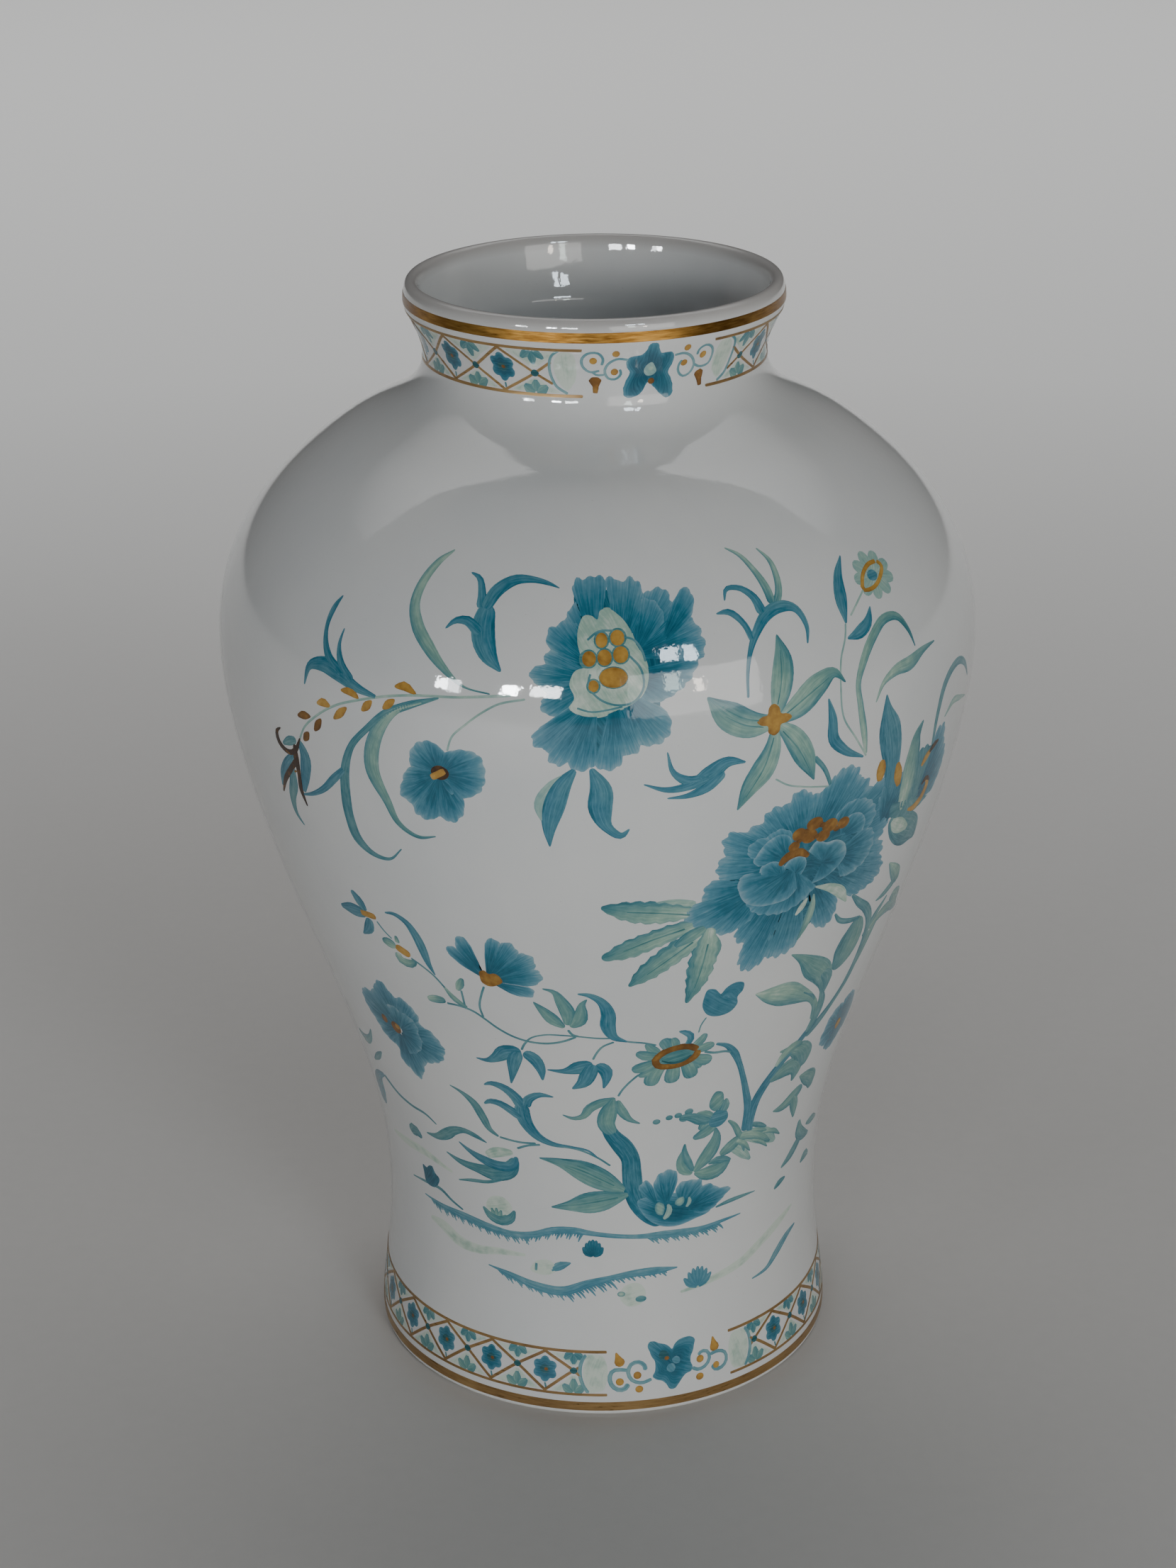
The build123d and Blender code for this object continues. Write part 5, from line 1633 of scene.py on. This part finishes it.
def ground():
    """The two feathery ground lines, the tufts on them and the pale sweeps round the side."""
    on_both_sides("ground_line", "blue_enamel", [
        leaf(GROUND, [0.3, 1.2, 2, 2.2, 1.8, 1.8, 2.1, 2, 1.5, 1.3, 1.4, 2, 2, 1.4, 1, 0.3], "faded", 1),
        leaf([(-58, 50), (-52, 50.8), (-45, 51), (-42, 49.5), (-38, 48)], [0.3, 0.8, 1, 0.8, 0.5], "teal"),
        leaf([(29.5, 50.8), (33, 51.3), (38, 51.4), (42.5, 51.2)], [0.5, 1.2, 1, 0.2], "teal"),
        blob([(-51.6, 50.8), (-52, 53.4), (-51.8, 55.8), (-50.4, 55.4), (-49.2, 56.4), (-47.8, 56.8),
              (-47, 55.2), (-45.6, 54.2), (-46.3, 52.2), (-47.6, 50.8)], "deep", 2),
    ] + hairs(GROUND, -50, -20, 0.8, 2.7, 0.8, "faded") + hairs(GROUND, -20, -4, 0.8, 2.9, -0.5, "faded")
      + hairs(GROUND, 11, 31, 0.8, 2.8, 1.0, "faded"))
    on_both_sides("lower_ground_line", "blue_enamel", [
        leaf(LOWER_GROUND, [0.3, 1.2, 2.2, 2.6, 2.2, 1.5, 2.0, 2.2, 0.3], "faded", 1),
        leaf([(-13.7, 37), (-11, 38.6), (-8, 39.7)], [1, 2.4, 0.3], "faded"),
        leaf([(-17.4, 36.5), (-17.2, 38.8)], 0.8, "teal", 1),
        leaf([(42, 27.2), (48, 28), (52, 30.3), (57, 32.8), (62, 34)], [0.4, 1.2, 2.2, 2, 0.4], "faded"),
    ] + fan((-2.5, 41.6), 4.8, 2.6, "deep", 2, 2.0, 7) + fan((25, 30.4), 5.6, 4.0, "faded", 2, 2.0, 7)
      + hairs(LOWER_GROUND, -28, 1, 0.8, 3.0, 1.0, "faded") + hairs(LOWER_GROUND, 1, 16, 0.9, 2.0, 1.0,
                                                                    "faded"))
    on_both_sides("ground_tufts", "green_enamel", [
        leaf([(-31.6, 51.2), (-29.6, 49.2), (-26.6, 48.4), (-23.8, 49.6), (-22.4, 52.2)],
             [0.5, 2.4, 2.8, 2.4, 0.6], "teal", 2),
        blob([(-30.6, 51), (-29, 54.6), (-25.4, 55.4), (-23, 52.8), (-25, 50), (-28.4, 49.4)], "wash"),
        blob([(-19, 36.6), (-17, 39.4), (-13.6, 39.8), (-11.6, 37.6), (-14.6, 35.7)], "wash"),
        blob([(4.2, 30.2), (5.2, 33.4), (9.2, 34), (11, 31.6), (9.6, 28.4), (6.2, 28)], "wash"),
        dot((4.6, 31.4), 2.0, 1.5, "green", 1),
        dot((9.6, 29.8), 2.8, 1.8, "teal", 1),
    ] + fan((-27.6, 48.6), 3.4, 2.9, "green", 1, 1.5, 5) + many(
        leaf, "wash", 0,
        ([(-51, 41.5), (-46, 41), (-40, 38.8), (-34, 38.6), (-28, 39.7), (-20, 40.3)],
         [1, 3.2, 3.4, 2.6, 2, 0.8]),
        ([(-66, 59), (-58, 59.5), (-50, 60), (-40, 58)], [0.8, 2.6, 2.6, 0.8]),
        ([(20, 30), (30, 31.5), (38, 33), (46, 36), (54, 38.5), (60, 40)], [0.8, 2, 2.4, 2.6, 2.4, 0.8]),
    ))
    on_both_sides("side_brush", "green_enamel", many(
        leaf, "teal", 1,
        ([(57, 65), (58.5, 61), (62, 58.5), (65.5, 57.5)], [1, 3.6, 3.2, 0.8]),
        ([(52, 53.5), (56, 55.5), (60, 59)], [0.6, 3, 3.2]),
        ([(62, 61.5), (66, 61), (70, 60)], [0.8, 2.8, 0.6]), ([(63, 50), (66, 51), (69, 50)], [0.8, 3, 0.6]),
        ([(50, 48.4), (52, 49.4), (55, 50)], [0.6, 2, 0.6]),
    ))


# ================================================================ floor, light and camera
CAMERA_PLACE = (0.0, -0.6825, 0.4204)   # metres
CAMERA_DOWN = math.radians(22.45)       # below the horizon
CAMERA_YAW = math.radians(-0.21)
CAMERA_ROLL = math.radians(-0.6)
CAMERA_LENS = 72.1
CAMERA_SENSOR = 36.0
PANE_DISTANCE = 1.9                     # metres from the vase to a window pane
DAYLIGHT = (0.93, 0.97, 1.0)
BLUE_SKY = (0.80, 0.91, 1.0)
ROOM_COLOUR = (0.80, 0.81, 0.83, 1)
ROOM_STRENGTH = 0.045


def floor():
    """A wide plain table top."""
    rings = smooth([(0.001, 0), (1, 0), (6, 0)], 0.5)
    points, faces = revolved(np.column_stack([rings[:, 0], np.zeros(len(rings))]) / MM, 64)
    mesh = bpy.data.meshes.new("floor")
    mesh.from_pydata(points.tolist(), [], faces[:-1])
    mesh.materials.append(floor_look())
    made = placed("floor", mesh)


def lamp(name, place, target, width, tall, power, colour, spread=180):
    """A rectangular light that faces its target."""
    data = bpy.data.lights.new(name, "AREA")
    data.spread = math.radians(spread)
    data.shape = "RECTANGLE"
    data.size, data.size_y = width, tall
    data.energy = power
    data.color = colour
    made = placed(name, data)
    made.location = place
    made.rotation_euler = (Vector(target) - Vector(place)).to_track_quat("-Z", "Y").to_euler()
    return made


def window(name, angle, height, width, tall, power, glare, colour=DAYLIGHT):
    """A pane, placed so that the camera sees its reflection at a place on the vase.

    Its glare is how much brighter it is in the glaze than the light it gives.
    """
    points, out = on_vase(np.array([angle], float), np.array([height], float), np.zeros(1))
    spot, normal = points[0], out[0]
    view = np.array(CAMERA_PLACE) - spot
    view /= np.linalg.norm(view)
    bounce = 2 * normal.dot(view) * normal - view
    place = spot + bounce * PANE_DISTANCE
    lamp(name + "_pane", place, spot, width, tall, power * glare, colour).visible_diffuse = False
    lamp(name + "_glow", place, spot, width, tall, power, colour).visible_glossy = False


def lights():
    """The window panes, a wide soft light in front, a light on the floor behind and the dim room."""
    window("window_left", -22.2, 193.5, 0.11, 0.17, 1.25, 4.0)
    window("window_left_inner", -20.4, 193.3, 0.14, 0.20, 1.25, 2.0)
    window("window_middle", -12.3, 193.4, 0.18, 0.15, 1.7, 9.0)
    window("window_centre", -7.2, 193.4, 0.29, 0.18, 3.4, 2.2)
    window("window_right", 10.2, 200.2, 0.18, 0.24, 2.4, 1.5, BLUE_SKY)
    window("window_far_right", 13.2, 200.3, 0.12, 0.27, 1.9, 1.5, BLUE_SKY)
    window("window_low", 10.4, 195.0, 0.15, 0.30, 1.2, 1.3, (0.86, 1.0, 0.93))
    window("window_low_right", 14.3, 194.0, 0.09, 0.22, 0.5, 2.5, (1.0, 0.88, 0.76))
    lamp("softbox", (1.6, -3.0, 0.6), (0, 0, 0.12), 2.4, 1.4, 38, (1.0, 0.975, 0.945))
    lamp("far_light", (0, 2.1, 2.3), (0, 1.9, 0), 5.0, 2.6, 42, (1.0, 1.0, 1.0), 105)
    world = bpy.data.worlds.new("room")
    world.use_nodes = True
    background = world.node_tree.nodes["Background"]
    background.inputs["Color"].default_value = ROOM_COLOUR
    background.inputs["Strength"].default_value = ROOM_STRENGTH
    bpy.context.scene.world = world


def camera():
    """The photo's camera."""
    data = bpy.data.cameras.new("camera")
    data.lens = CAMERA_LENS
    data.sensor_width = CAMERA_SENSOR
    forward = Vector((math.sin(CAMERA_YAW) * math.cos(CAMERA_DOWN),
                      math.cos(CAMERA_YAW) * math.cos(CAMERA_DOWN), -math.sin(CAMERA_DOWN)))
    level = Vector((math.cos(CAMERA_YAW), -math.sin(CAMERA_YAW), 0))
    up = level.cross(forward)
    right = level * math.cos(CAMERA_ROLL) + up * math.sin(CAMERA_ROLL)
    top = up * math.cos(CAMERA_ROLL) - level * math.sin(CAMERA_ROLL)
    made = placed("camera", data)
    turn = Matrix((right, top, -forward)).transposed().to_4x4()
    made.matrix_world = Matrix.Translation(CAMERA_PLACE) @ turn
    bpy.context.scene.camera = made


body()
gilding()
neck_border()
foot_border()
upper_left()
poppy()
tulip()
top_peony()
bird_leaf()
starflower()
antler_plant()
small_daisy()
arch_stem()
right_tulip()
big_peony()
cut_leaves()
bud_sprays()
fan_daisy()
middle_sprig()
blue_carnation()
daisy()
bells()
right_stems()
lower_plants()
bead_plant()
water_flower()
ground()
floor()
lights()
camera()
